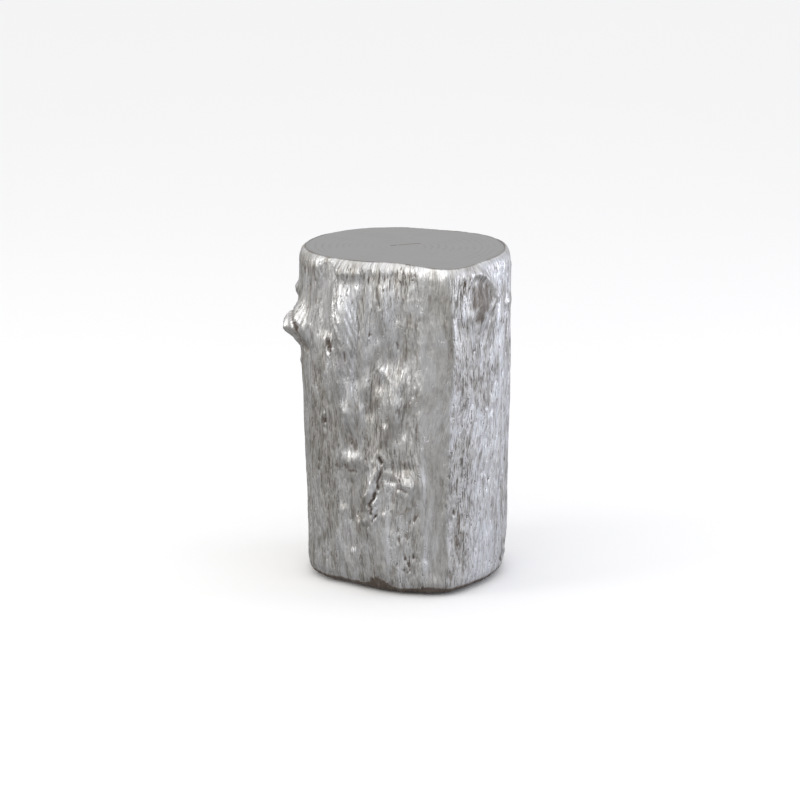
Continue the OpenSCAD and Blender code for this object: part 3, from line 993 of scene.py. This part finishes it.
@dataclass
class Casting:
    """The cast resin log: skin, crown, foot edge, flange and lining in one closed mesh."""

    form: LogForm
    columns: int = 560
    side_rows: int = 134
    roll_rows: int = 10
    crown_height: float = 19.0
    foot_height: float = 19.0
    foot_inset: float = 7.0
    deepest: float = 5.0
    foot_dark_band: float = 8.5
    worn_bearing: float = 84.0
    worn_half_width: float = 22.0
    worn_depth: float = 5.5
    worn_height: float = 60.0
    front_strip: float = 14.0
    back_strip: float = 160.0
    smooth_crown: float = 462.0
    lump_depth: float = 2.0
    flute_depth: float = 1.8
    fibre_depth: float = 0.9
    split_depth: float = 1.4
    seed: float = 4.0

    def rows(self) -> tuple[np.ndarray, np.ndarray, np.ndarray, np.ndarray]:
        """Lays out the closed outline at each bearing.

        Returns:
            Radii, heights, how much relief each row takes, and which rows are leafed.
        """
        form, bearings = self.form, np.arange(self.columns) * 360.0 / self.columns
        seam, opening = form.round(form.seam, bearings), form.round(form.opening, bearings)
        foot_in = opening + self.foot_inset
        top = form.height
        radii, heights, relief, leafed = [], [], [], []

        def add(radius: np.ndarray, height: float, share: float, leaf: bool = True) -> None:
            """Adds one row."""
            radii.append(radius)
            heights.append(height)
            relief.append(share)
            leafed.append(leaf)

        add(opening, 0.0, 0.0)
        add(opening + 2.0, 0.0, 0.1)
        add(foot_in - 1.5, 0.0, 0.5)
        waist = form.skin(bearings, np.array([self.foot_height]))[0]
        for i in range(self.roll_rows):
            part = i / self.roll_rows
            turn = part * math.pi / 2
            out = foot_in + (waist - foot_in) * math.sin(turn) ** 0.9
            add(out, self.foot_height * (1 - math.cos(turn)), 0.75 + 0.25 * part)
        side = np.linspace(self.foot_height, top - self.crown_height, self.side_rows)
        for radius, height in zip(form.skin(bearings, side), side):
            add(radius, height, 1.0)
        shoulder = form.skin(bearings, np.array([top - self.crown_height]))[0]
        for i in range(1, self.roll_rows + 1):
            part = i / self.roll_rows
            turn = part * math.pi / 2
            out = seam + (shoulder - seam) * math.cos(turn)
            add(out, top - self.crown_height * (1 - math.sin(turn)), 1.0 - 0.75 * part**3)
        add(seam - 0.1, top - 0.5, 0.0)
        add(seam - 0.1, form.cap_bottom + 0.2, 0.0, False)
        low, lower, upper, high = (form.round(row, bearings) for row in form.inner)
        for radius, height in (
            (high, form.cap_bottom - 1.0),
            (high, form.cap_bottom - 30.0),
            (upper, form.height * form.lining_high),
            (lower, form.height * form.lining_low),
            (low, form.flange + 20.0),
            (low, form.flange + 0.5),
            (low - 1.0, form.flange),
        ):
            add(radius, height, 0.0, False)
        add(opening + 0.6, form.flange, 0.0, False)
        add(opening, form.flange - 0.6, 0.0, False)
        add(opening, 0.6, 0.0, False)
        return np.array(radii), np.array(heights), np.array(relief), np.array(leafed)

    @staticmethod
    def grain(bearing: np.ndarray, height: np.ndarray) -> np.ndarray:
        """Coordinates that follow the bark's fibres, which wander and flow round the knots.

        Args:
            bearing: bearings of the points.
            height: their heights.

        Returns:
            Points on a straight-grained cylinder, in metres.
        """
        angle = np.radians(bearing)
        lean = 5.0 * np.sin(height / 95.0 + 1.4 * np.sin(angle * 2))
        lean = lean + 2.2 * np.sin(height / 31.0 + angle * 3)
        for at, up, half_width, half_length in KNOTS:
            s = between(bearing, at) * PER_DEGREE
            near = np.exp(-((s / half_width) ** 2) - ((height - up) / half_length) ** 2)
            lean = lean - 0.75 * s * near
        angle = np.radians(bearing + lean / PER_DEGREE)
        across, along = BARK_RADIUS * np.sin(angle), -BARK_RADIUS * np.cos(angle)
        return np.stack([across, along, height + 0.0 * angle], axis=-1) * MM

    def calm(self, bearing: np.ndarray, height: np.ndarray) -> np.ndarray:
        """How smooth the bark is, from 0 to 1: the long strips in front and behind, the crown and SMOOTH."""
        wander = 1.2 * np.sin(height / 31.0)
        strip = np.exp(-((between(bearing, self.front_strip + wander) / 5.5) ** 4))
        back = np.exp(-((between(bearing, self.back_strip) / 9.0) ** 2))
        crown = eased((height - self.smooth_crown) / 14.0)
        patches = sum(patch.at(bearing, height) for patch in SMOOTH)
        return np.clip(0.75 * strip + 0.7 * crown + 0.6 * back + patches, 0, 1)

    @staticmethod
    def painted_light(bearing: np.ndarray, height: np.ndarray) -> np.ndarray:
        """Painted light and shade, from -1 to 1: above 0 the leaf is painted brighter as a highlight, below
        0 darker as shade.
        """
        return np.clip(sum(patch.at(bearing, height) for patch in PAINTED_LIGHT_AND_SHADE), -1, 1)

    def trim(self, bearing: np.ndarray, height: np.ndarray) -> np.ndarray:
        """How far the foot's right corner is worn back, in millimetres."""
        corner = np.exp(-((between(bearing, self.worn_bearing) / self.worn_half_width) ** 2))
        return -self.worn_depth * corner * (1.0 - eased(height / self.worn_height))

    def mesh(self) -> bpy.types.Object:
        """Builds the closed mesh with its grain, relief, hollow, calm, painted_light (painted highlight and
        shade) and leafed attributes.
        """
        radii, heights, relief, leafed = self.rows()
        count, columns = radii.shape
        bearing = np.broadcast_to(np.arange(columns) * 360.0 / columns, radii.shape)
        height = np.broadcast_to(heights[:, None], radii.shape)
        share = np.broadcast_to(relief[:, None], radii.shape)
        points = self.form.point(bearing, radii, height)
        lift, glaze = BarkRelief(FRONT_MARKS + BACK_MARKS).work(bearing, height)
        out = self._normals(points)
        lift = lift + self.trim(bearing, height)
        lift = np.where(lift < 0, -self.deepest * np.tanh(-lift / self.deepest), lift)
        points = points + out * (lift * share * MM)[..., None]
        under = np.broadcast_to(np.isclose(heights, 0.0)[:, None], radii.shape)
        points[..., 2] = np.maximum(points[..., 2], self.form.bottom)
        points[under, 2] = self.form.bottom
        # Darker in colour towards the casting's lower edge
        foot = np.exp(-((height / self.foot_dark_band) ** 4))
        rim = np.exp(-(((height - self.form.height) / 1.0) ** 2)) * 0.5
        glaze = np.maximum(glaze * share, np.maximum(foot, rim))
        index = np.arange(count * columns).reshape(count, columns)
        after, above = np.roll(index, -1, axis=1), np.roll(index, -1, axis=0)
        faces = np.stack([index, after, np.roll(above, -1, axis=1), above], axis=-1).reshape(-1, 4)
        made = bpy.data.meshes.new("log_casting")
        made.from_pydata(points.reshape(-1, 3).tolist(), [], faces.tolist())
        carry(made, "grain", self.grain(bearing, height).reshape(-1, 3))
        carry(made, "relief", share.ravel())
        carry(made, "hollow", np.clip(glaze, 0, 1).ravel())
        carry(made, "calm", self.calm(bearing, height).ravel())
        # Painted highlight and painted shade at each point
        carry(made, "painted_light", self.painted_light(bearing, height).ravel())
        carry(made, "leafed", np.broadcast_to(leafed[:, None], radii.shape).astype(float).ravel())
        obj = bpy.data.objects.new("log_casting", made)
        bpy.context.scene.collection.objects.link(obj)
        return obj

    @staticmethod
    def _normals(points: np.ndarray) -> np.ndarray:
        """Outward directions of a closed grid of points."""
        along = np.roll(points, -1, axis=1) - np.roll(points, 1, axis=1)
        up = np.roll(points, -1, axis=0) - np.roll(points, 1, axis=0)
        out = np.cross(along, up)
        return out / np.maximum(np.linalg.norm(out, axis=-1, keepdims=True), 1e-12)

    def grained(
        self, obj: bpy.types.Object, leaf: bpy.types.Material, raw: bpy.types.Material
    ) -> bpy.types.Object:
        """Carves the noise of real bark into the mesh with a geometry tree.

        Args:
            obj: the casting's mesh.
            leaf: the skin's material.
            raw: the lining's material.

        Returns:
            The finished piece, as a plain mesh.
        """
        inputs = {
            "Lump Depth": self.lump_depth * MM,
            "Flute Depth": self.flute_depth * MM,
            "Fibre Depth": self.fibre_depth * MM,
            "Split Depth": self.split_depth * MM,
            "Seed": self.seed,
        }
        tree, sheet, given = mesh_tree("bark_grain", inputs)

        def own(name: str, kind: str) -> Wire:
            """An attribute of the mesh."""
            return sheet.node("GeometryNodeInputNamedAttribute", {"data_type": kind}, {"Name": name})[0]

        grain = own("grain", "FLOAT_VECTOR")
        share, calm, hollow = own("relief", "FLOAT"), own("calm", "FLOAT"), own("hollow", "FLOAT")
        seed = sheet.node("ShaderNodeCombineXYZ", None, {"Z": given["Seed"]})[0]
        seeded = sheet.vector("ADD", grain, seed)
        rough = 1.0 - calm * 0.8
        lumps = sheet.noise(seeded, (30, 30, 62), 2.0, 0.5, 0.3, 1.0) - 0.5
        flutes = 1.0 - abs(sheet.noise(seeded, (13, 13, 120), 2.0, 0.5, 0.2, 5.0) * 2.0 - 1.0) * 2.4
        fibres = sheet.noise(seeded, (5.5, 5.5, 46), 3.0, 0.6, 0.3, 11.0) - 0.5
        flakes = sheet.noise(seeded, (6.5, 6.5, 19), 2.0, 0.6, 0.8, 17.0)
        flaky = sheet.noise(seeded, (40, 40, 80), 1.0, 0.5, 0.0, 23.0)
        splits = flakes.step(0.60, 0.70) * flaky.step(0.42, 0.60)
        lift = (
            lumps * 2.0 * given["Lump Depth"]
            + (flutes.clipped() - 0.5) * rough * given["Flute Depth"]
            + fibres * 2.0 * rough * given["Fibre Depth"]
            - splits * rough * given["Split Depth"]
        ) * share
        normal = sheet.node("GeometryNodeInputNormal")[0]
        offset = sheet.vector("SCALE", normal, scale=lift)
        shift = {"Geometry": given["Geometry"], "Offset": offset}
        moved = sheet.node("GeometryNodeSetPosition", None, shift)
        furrows = (0.0 - fibres).step(0.10, 0.26)
        stain = (hollow + splits * rough * share * 0.7 + furrows * rough * share * 0.22).clipped()
        stored = sheet.node(
            "GeometryNodeStoreNamedAttribute",
            {"data_type": "FLOAT", "domain": "POINT"},
            {"Geometry": moved, "Name": "hollow", "Value": stain},
        )
        real = sheet.node("GeometryNodeRealizeInstances", None, {0: stored})
        first = sheet.node("GeometryNodeSetMaterial", None, {"Geometry": real, "Material": raw})
        more = {"data_type": "FLOAT", "operation": "GREATER_THAN"}
        skin = sheet.node("FunctionNodeCompare", more, {0: own("leafed", "FLOAT"), 1: 0.4})[0]
        dressing = {"Geometry": first, "Selection": skin, "Material": leaf}
        last = sheet.node("GeometryNodeSetMaterial", None, dressing)
        sheet.node("NodeGroupOutput", None, {0: last})
        return realised(obj, tree, inputs)


def carry(mesh: bpy.types.Mesh, name: str, values: np.ndarray) -> None:
    """Stores one value or vector for each vertex as an attribute."""
    if values.ndim == 2:
        attribute = mesh.attributes.new(name, "FLOAT_VECTOR", "POINT")
        attribute.data.foreach_set("vector", values.astype(np.float32).ravel())
    else:
        attribute = mesh.attributes.new(name, "FLOAT", "POINT")
        attribute.data.foreach_set("value", values.astype(np.float32))


def mesh_tree(name: str, inputs: Mapping[str, float]) -> tuple[bpy.types.NodeTree, NodeSheet, Made]:
    """Starts a geometry tree.

    Args:
        name: the tree's name.
        inputs: its named inputs, next to the geometry.

    Returns:
        The tree, a sheet that writes into it and its input node.
    """
    tree = bpy.data.node_groups.new(name, "GeometryNodeTree")
    tree.interface.new_socket("Geometry", in_out="INPUT", socket_type="NodeSocketGeometry")
    for item in inputs:
        tree.interface.new_socket(item, in_out="INPUT", socket_type="NodeSocketFloat")
    tree.interface.new_socket("Geometry", in_out="OUTPUT", socket_type="NodeSocketGeometry")
    sheet = NodeSheet(tree)
    return tree, sheet, sheet.node("NodeGroupInput")


def realised(
    obj: bpy.types.Object, tree: bpy.types.NodeTree, inputs: Mapping[str, float]
) -> bpy.types.Object:
    """Runs a geometry tree on an object and keeps its result as a plain mesh.

    Args:
        obj: the object to run it on.
        tree: the geometry tree.
        inputs: a value for each of the tree's named inputs.

    Returns:
        The same object, with the tree's result as its mesh and no modifier.
    """
    modifier = obj.modifiers.new(tree.name, "NODES")
    modifier.node_group = tree
    for item in tree.interface.items_tree:
        if item.in_out == "INPUT" and item.name in inputs:
            modifier[item.identifier] = inputs[item.name]
    made = bpy.data.meshes.new_from_object(obj.evaluated_get(bpy.context.evaluated_depsgraph_get()))
    obj.modifiers.remove(modifier)
    obj.data = made
    made.polygons.foreach_set("use_smooth", np.ones(len(made.polygons), bool))
    return obj


@dataclass
class SawnTop:
    """The sawn face: a disc let into the crown."""

    form: LogForm
    columns: int = 360
    rings: int = 44
    edge: float = 1.0
    gap: float = 0.3
    dish: float = 0.25
    centre_share: float = 0.012
    crack_depth: float = 0.9

    def build(self, material: bpy.types.Material) -> bpy.types.Object:
        """Builds the closed disc.

        Args:
            material: its finish.

        Returns:
            The piece.
        """
        form = self.form
        bearings = np.arange(self.columns) * 360.0 / self.columns
        rim = form.round(form.seam, bearings) - self.gap
        loose = 0.5 + 0.5 * np.sin(np.radians(bearings) * 5 + 1.0) * np.sin(np.radians(bearings) * 3)
        edge = self.edge * (0.55 + 0.9 * loose)
        level = np.zeros(self.columns)
        radii, heights = [], []
        for share in np.linspace(self.centre_share, 1.0, self.rings):
            radii.append((rim - edge) * share)
            heights.append(form.height - self.dish * (1 - share**2) + level)
        for turn in (30.0, 60.0, 90.0):
            a = math.radians(turn)
            radii.append(rim - edge * (1 - math.sin(a)))
            heights.append(form.height - edge * (1 - math.cos(a)))
        low = form.cap_bottom
        for share, lift in ((1.0, 0.4), (0.99, 0.0), (0.5, 0.0), (self.centre_share, 0.0)):
            radii.append(rim * share)
            heights.append(low + lift + level)
        radius, height = np.array(radii), np.array(heights)
        bearing = np.broadcast_to(bearings, radius.shape)
        crack = self._crack(bearing, radius)
        on_top = (np.arange(len(radius)) < self.rings)[:, None]
        height = height - np.where(on_top, crack * self.crack_depth, 0.0)
        points = form.point(bearing, radius, height).reshape(-1, 3)
        count = len(radius)
        index = np.arange(count * self.columns).reshape(count, self.columns)
        after = np.roll(index, -1, axis=1)
        quads = np.stack([index[:-1], index[1:], after[1:], after[:-1]], axis=-1).reshape(-1, 4).tolist()
        centre_top, centre_low = len(points), len(points) + 1
        middles = form.point(np.zeros(2), np.zeros(2), np.array([form.height - self.dish, low]))
        points = np.vstack([points, middles])
        fans = [[centre_top, int(index[0, i]), int(after[0, i])] for i in range(self.columns)]
        fans += [[centre_low, int(after[-1, i]), int(index[-1, i])] for i in range(self.columns)]
        mesh = bpy.data.meshes.new("sawn_top")
        mesh.from_pydata(points.tolist(), [], quads + fans)
        growth = np.append((radius / rim).ravel(), [0.0, 0.0])
        on_edge = np.arange(count)[:, None] >= self.rings - 1
        seam = np.where(on_edge, 0.75, 0.0) * (0.4 + 0.6 * loose)[None, :]
        carry(mesh, "growth", growth)
        carry(mesh, "hollow", np.append(np.clip(seam + crack, 0, 1).ravel(), [0.0, 0.0]))
        mesh.polygons.foreach_set("use_smooth", np.ones(len(mesh.polygons), bool))
        mesh.materials.append(material)
        obj = bpy.data.objects.new("sawn_top", mesh)
        bpy.context.scene.collection.objects.link(obj)
        return obj

    @staticmethod
    def _crack(bearing: np.ndarray, radius: np.ndarray) -> np.ndarray:
        """The short drying crack near the middle of the face, from 0 to 1."""
        x, y = radius * np.sin(np.radians(bearing)), -radius * np.cos(np.radians(bearing))
        start, end = (-22.0, 8.0), (22.0, 26.0)
        run, rise = end[0] - start[0], end[1] - start[1]
        along = np.clip(((x - start[0]) * run + (y - start[1]) * rise) / (run * run + rise * rise), 0, 1)
        away = np.hypot(x - start[0] - along * run, y - start[1] - along * rise)
        return np.exp(-((away / 2.0) ** 2))


# ----------------------------------------------------------------- the glides


@dataclass
class ThreadedStem:
    """A glide's stem with a true helical thread, a spanner hexagon, a neck and a collar."""

    number: int
    pitch: float = 1.25
    thread_depth: float = 0.6
    thread_radius: float = 4.0
    collar_radius: float = 5.4
    neck_radius: float = 3.2
    spanner_size: float = 11.0
    steps: int = 40

    def build(self, material: bpy.types.Material) -> bpy.types.Object:
        """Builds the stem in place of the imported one.

        Args:
            material: its finish.

        Returns:
            The piece.
        """
        low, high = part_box(f"glide_stem_{self.number}")
        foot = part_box(f"glide_foot_{self.number}")[1].z
        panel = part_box("base_panel")[0].z
        x, y = (low.x + high.x) / 2, (low.y + high.y) / 2
        hexagon_top, hexagon_low = panel - 0.3 * MM, foot + 0.3 * MM
        root = (self.thread_radius - self.thread_depth) * MM
        collar, neck = self.collar_radius * MM, self.neck_radius * MM
        outline = [
            (0.0, low.z),
            (collar - 0.4 * MM, low.z),
            (collar, low.z + 0.3 * MM),
            (collar, low.z + 1.4 * MM),
            (collar - 0.3 * MM, low.z + 1.7 * MM),
            (neck, low.z + 1.7 * MM),
            (neck, hexagon_top),
            (root, hexagon_top + 0.2 * MM),
            (root, high.z - 0.6 * MM),
            (root - 0.6 * MM, high.z),
            (0.0, high.z),
        ]
        obj = lathe(f"stem_{self.number}", outline, (x, y), self.steps)
        corner = self.spanner_size * MM / 2 / math.cos(math.pi / 6)
        add_prism(obj.data, (x, y), corner, (hexagon_low, hexagon_top), 0.35 * MM)
        turns = math.floor((high.z - hexagon_top - 2.5 * MM) / (self.pitch * MM))
        inputs = {
            "Turns": float(turns),
            "Pitch": self.pitch * MM,
            "Root Radius": root,
            "Depth": self.thread_depth * MM,
        }
        start = Vector((x, y, hexagon_top + 1.0 * MM))
        obj.data.transform(Matrix.Translation(-start))
        obj = realised(obj, self._tree(material, inputs), inputs)
        obj.data.transform(Matrix.Translation(start))
        return obj

    @staticmethod
    def _tree(material: bpy.types.Material, inputs: Mapping[str, float]) -> bpy.types.NodeTree:
        """The geometry tree that winds a thread round the stem."""
        tree, sheet, given = mesh_tree("stem_thread", inputs)
        helix = sheet.node(
            "GeometryNodeCurveSpiral",
            None,
            {
                "Resolution": 24,
                "Rotations": given["Turns"],
                "Start Radius": given["Root Radius"],
                "End Radius": given["Root Radius"],
                "Height": given["Turns"] * given["Pitch"],
            },
        )
        three = {"Resolution": 3, "Radius": given["Depth"]}
        crest = sheet.node("GeometryNodeCurvePrimitiveCircle", {"mode": "RADIUS"}, three)
        sweep = {"Curve": helix, "Profile Curve": crest, "Fill Caps": True}
        ridge = sheet.node("GeometryNodeCurveToMesh", None, sweep)
        joined = sheet.node("GeometryNodeJoinGeometry", None, {0: given["Geometry"]})
        sheet.feed(joined.node.inputs[0], ridge)
        real = sheet.node("GeometryNodeRealizeInstances", None, {0: joined})
        dressed = sheet.node("GeometryNodeSetMaterial", None, {"Geometry": real, "Material": material})
        sheet.node("NodeGroupOutput", None, {0: dressed})
        return tree


def lathe(name: str, outline: Sequence[Place], centre: Place, steps: int) -> bpy.types.Object:
    """Turns an outline of (radius, height) points about a vertical axis.

    Args:
        name: the object's name.
        outline: the outline, from its lower pole to its upper one.
        centre: the axis.
        steps: how many faces go round.

    Returns:
        A closed object.
    """
    angles = np.arange(steps) * 2 * math.pi / steps
    points: list[tuple[float, float, float]] = [(centre[0], centre[1], outline[0][1])]
    for radius, height in outline[1:-1]:
        for a in angles:
            points.append((centre[0] + radius * math.sin(a), centre[1] - radius * math.cos(a), height))
    points.append((centre[0], centre[1], outline[-1][1]))
    rings = len(outline) - 2
    faces: list[list[int]] = [[0, 1 + (i + 1) % steps, 1 + i] for i in range(steps)]
    for r in range(rings - 1):
        for i in range(steps):
            a, b = 1 + r * steps + i, 1 + r * steps + (i + 1) % steps
            faces.append([a, b, b + steps, a + steps])
    last = 1 + (rings - 1) * steps
    faces += [[len(points) - 1, last + i, last + (i + 1) % steps] for i in range(steps)]
    mesh = bpy.data.meshes.new(name)
    mesh.from_pydata(points, [], faces)
    obj = bpy.data.objects.new(name, mesh)
    bpy.context.scene.collection.objects.link(obj)
    return obj


def add_prism(mesh: bpy.types.Mesh, centre: Place, radius: float, span: Place, bevel: float) -> None:
    """Adds a closed hexagon with bevelled edges to a mesh.

    Args:
        mesh: the mesh to add to.
        centre: the hexagon's axis.
        radius: its corner radius.
        span: its lowest and highest heights.
        bevel: the width of its bevels.
    """
    low, high = span
    turns = [k * math.pi / 3 for k in range(6)]
    work = bmesh.new()
    work.from_mesh(mesh)
    levels = ((radius - bevel, low), (radius, low + bevel), (radius, high - bevel), (radius - bevel, high))
    loops = []
    for r, z in levels:
        corners = [(centre[0] + r * math.cos(a), centre[1] + r * math.sin(a), z) for a in turns]
        loops.append([work.verts.new(corner) for corner in corners])
    work.faces.new(list(reversed(loops[0])))
    for lower, upper in zip(loops, loops[1:]):
        for k in range(6):
            n = (k + 1) % 6
            work.faces.new((lower[k], lower[n], upper[n], upper[k]))
    work.faces.new(loops[-1])
    work.to_mesh(mesh)
    work.free()


# ------------------------------------------------------------------ the studio


@dataclass(frozen=True)
class Lamp:
    """One square soft light, its place and size in metres and its power in watts."""

    name: str
    place: tuple[float, float, float]
    size: float
    power: float
    colour: Colour

    def hang(self, target: Vector) -> None:
        """Adds the light, facing the target."""
        data = bpy.data.lights.new(self.name, "AREA")
        data.shape, data.size, data.energy, data.color = "SQUARE", self.size, self.power, self.colour
        light = bpy.data.objects.new(self.name, data)
        light.location = self.place
        light.rotation_mode = "QUATERNION"
        light.rotation_quaternion = (target - Vector(self.place)).to_track_quat("-Z", "Y")
        bpy.context.scene.collection.objects.link(light)


LAMPS: tuple[Lamp, ...] = (
    Lamp("left_box", (-2.75, -0.95, 1.2), 1.25, 25.0, (1.0, 0.985, 0.96)),
    Lamp("key_box", (-1.3, -2.4, 2.4), 1.6, 7.5, (1.0, 0.99, 0.97)),
    Lamp("right_box", (2.7, 0.2, 0.55), 1.3, 20.0, (0.88, 0.91, 1.0)),
    Lamp("right_strip", (2.3, -1.7, 0.6), 0.8, 9.0, (0.94, 0.96, 1.0)),
)


@dataclass
class Studio:
    """Pale floor, soft lights and the camera."""

    form: LogForm
    distance: float = 5.0
    elevation: float = 14.0
    lens: float = 153.7
    aim_left: float = 8.1
    aim_height: float = 253.6
    light_height: float = 0.26

    def build(self) -> None:
        """Makes the floor, the world, the lights and the camera."""
        self._floor()
        self._world()
        centre = Vector((*self.form.axis, self.light_height))
        for lamp in LAMPS:
            lamp.hang(centre)
        self._camera()

    def _floor(self) -> None:
        """A large flat disc under the stool, kept out of the leaf's reflections so that its relief reads."""
        steps, radius = 96, 16.0
        turns = [2 * math.pi * i / steps for i in range(steps)]
        points = [(radius * math.cos(a), radius * math.sin(a), 0.0) for a in turns]
        mesh = bpy.data.meshes.new("floor")
        mesh.from_pydata(points, [], [list(range(steps))])
        mesh.materials.append(StudioFloor().make())
        floor = bpy.data.objects.new("floor", mesh)
        bpy.context.scene.collection.objects.link(floor)
        floor.visible_glossy = False

    @staticmethod
    def _world() -> None:
        """A surround that is dim at the horizon and bright overhead, like a tent of soft light."""
        world = bpy.data.worlds.new("studio")
        world.use_nodes = True
        sheet = NodeSheet(world.node_tree)
        world.node_tree.nodes.clear()
        way = sheet.node("ShaderNodeTexCoord")["Generated"]
        parts = sheet.node("ShaderNodeSeparateXYZ", None, {0: way})
        rise, right = parts["Z"], parts["X"]
        low = rise.step(-0.18, -0.30)
        overhead, horizon = rise.step(0.10, 0.85) * 0.70, rise.step(-0.5, 0.1) * 0.09
        right_side, left_side = right.step(0.45, 0.90), right.step(-0.15, -0.75)
        strength = overhead + horizon + 0.375
        strength = strength + right_side * (low * 0.20 + 0.11) - left_side * (low * 0.08 + 0.06)
        tint = sheet.blend(right.step(0.1, 0.9), (1.0, 0.995, 0.985), (0.89, 0.91, 1.0))
        glow = sheet.node("ShaderNodeBackground", None, {"Color": tint, "Strength": strength})
        sheet.node("ShaderNodeOutputWorld", None, {0: glow})
        bpy.context.scene.world = world

    def _camera(self) -> None:
        """The camera, a little above the stool and looking down at it."""
        scene = bpy.context.scene
        data = bpy.data.cameras.new("camera")
        data.lens, data.sensor_width, data.clip_end = self.lens, 36.0, 100.0
        camera = bpy.data.objects.new("camera", data)
        turn = math.radians(self.elevation)
        aim = Vector((self.form.axis[0] - self.aim_left * MM, self.form.axis[1], self.aim_height * MM))
        back = Vector((0.0, -math.cos(turn), math.sin(turn)))
        camera.location = aim + back * self.distance
        camera.rotation_mode = "QUATERNION"
        camera.rotation_quaternion = (-back).to_track_quat("-Z", "Y")
        scene.collection.objects.link(camera)
        scene.camera = camera
        scene.view_settings.view_transform = "Standard"


# -------------------------------------------------------------------- the stool


# The glides' sides, in the order of their numbers; the posts, tee nuts and soles come in fours as well
SIDES = ("front", "right", "back", "left")


def numbered(name: str) -> list[str]:
    """The names of four nodes that differ only in their number."""
    return [f"{name}_{number}" for number in range(1, len(SIDES) + 1)]


@dataclass
class LogStool:
    """The whole stool: the casting, its top, the inner frame and the glides."""

    frame: Mapping[str, Any]

    def dress(self, nodes: Sequence[str], material: bpy.types.Material) -> None:
        """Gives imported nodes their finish.

        Args:
            nodes: the nodes' names.
            material: their finish.
        """
        for name in nodes:
            obj = self.frame["nodes"][name]
            obj.data.materials.clear()
            obj.data.materials.append(material)
            LOG.info("dressed %s in %s", name, material.name)

    def build(self) -> LogForm:
        """Builds and dresses every piece.

        Returns:
            The log's form.
        """
        form = LogForm.read(self.frame["nodes"])
        casting = Casting(form)
        log = casting.grained(casting.mesh(), AgedLeaf().make(), RawLaminate().make())
        self._settle(log, "stool", "bark_shell", "leafed_resin")
        top = SawnTop(form).build(SatinLeaf().make())
        self._settle(top, "stool", "top_cap", "leafed_top")
        steel = PlatedSteel(plate=(0.62, 0.64, 0.66), dull=(0.47, 0.49, 0.52)).make("bright_zinc")
        for number, side in enumerate(SIDES, start=1):
            stem = ThreadedStem(number).build(steel)
            self._settle(stem, f"{side}_stem", f"glide_stem_{number}", "bright_zinc")
        birch = BareWood(WoodCut.PLY, pale=(0.62, 0.47, 0.30), late=(0.44, 0.29, 0.16)).make("birch_plywood")
        pine = BareWood(WoodCut.POST, pale=(0.66, 0.49, 0.30), late=(0.46, 0.28, 0.14)).make("planed_pine")
        self.dress(("seat_board", "seat_ring", "base_ring"), birch)
        self.dress(numbered("post"), pine)
        self.dress(("base_panel",), StainedBoard().make())
        zinc = PlatedSteel(plate=(0.66, 0.54, 0.26), dull=(0.50, 0.42, 0.24)).make("yellow_zinc")
        self.dress(("seat_screws", "post_screws", "base_screws"), zinc)
        self.dress(numbered("tee_nut"), steel)
        nylon = MouldedPlastic(
            base=(0.018, 0.018, 0.019), bloom=(0.04, 0.04, 0.042), roughness=0.38, grain=0.5
        ).make("black_nylon")
        rubber = MouldedPlastic(
            base=(0.03, 0.03, 0.03), bloom=(0.055, 0.054, 0.052), roughness=0.72, grain=0.35
        ).make("sole_rubber")
        self.dress(numbered("glide_foot"), nylon)
        self.dress(numbered("glide_sole"), rubber)
        return form

    @staticmethod
    def _settle(obj: bpy.types.Object, body: str, node: str, slot: str) -> None:
        """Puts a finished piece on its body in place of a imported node."""
        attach(obj, body)
        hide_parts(node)
        LOG.info("built %s: %d faces, in place of %s", obj.name, len(obj.data.polygons), node)


def main() -> None:
    """Loads the frame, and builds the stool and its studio."""
    logging.basicConfig(level=logging.INFO, format="%(name)s: %(message)s")
    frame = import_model()
    form = LogStool(frame).build()
    Studio(form).build()
    LOG.info("sizes written")


if __name__ == "__main__":
    main()
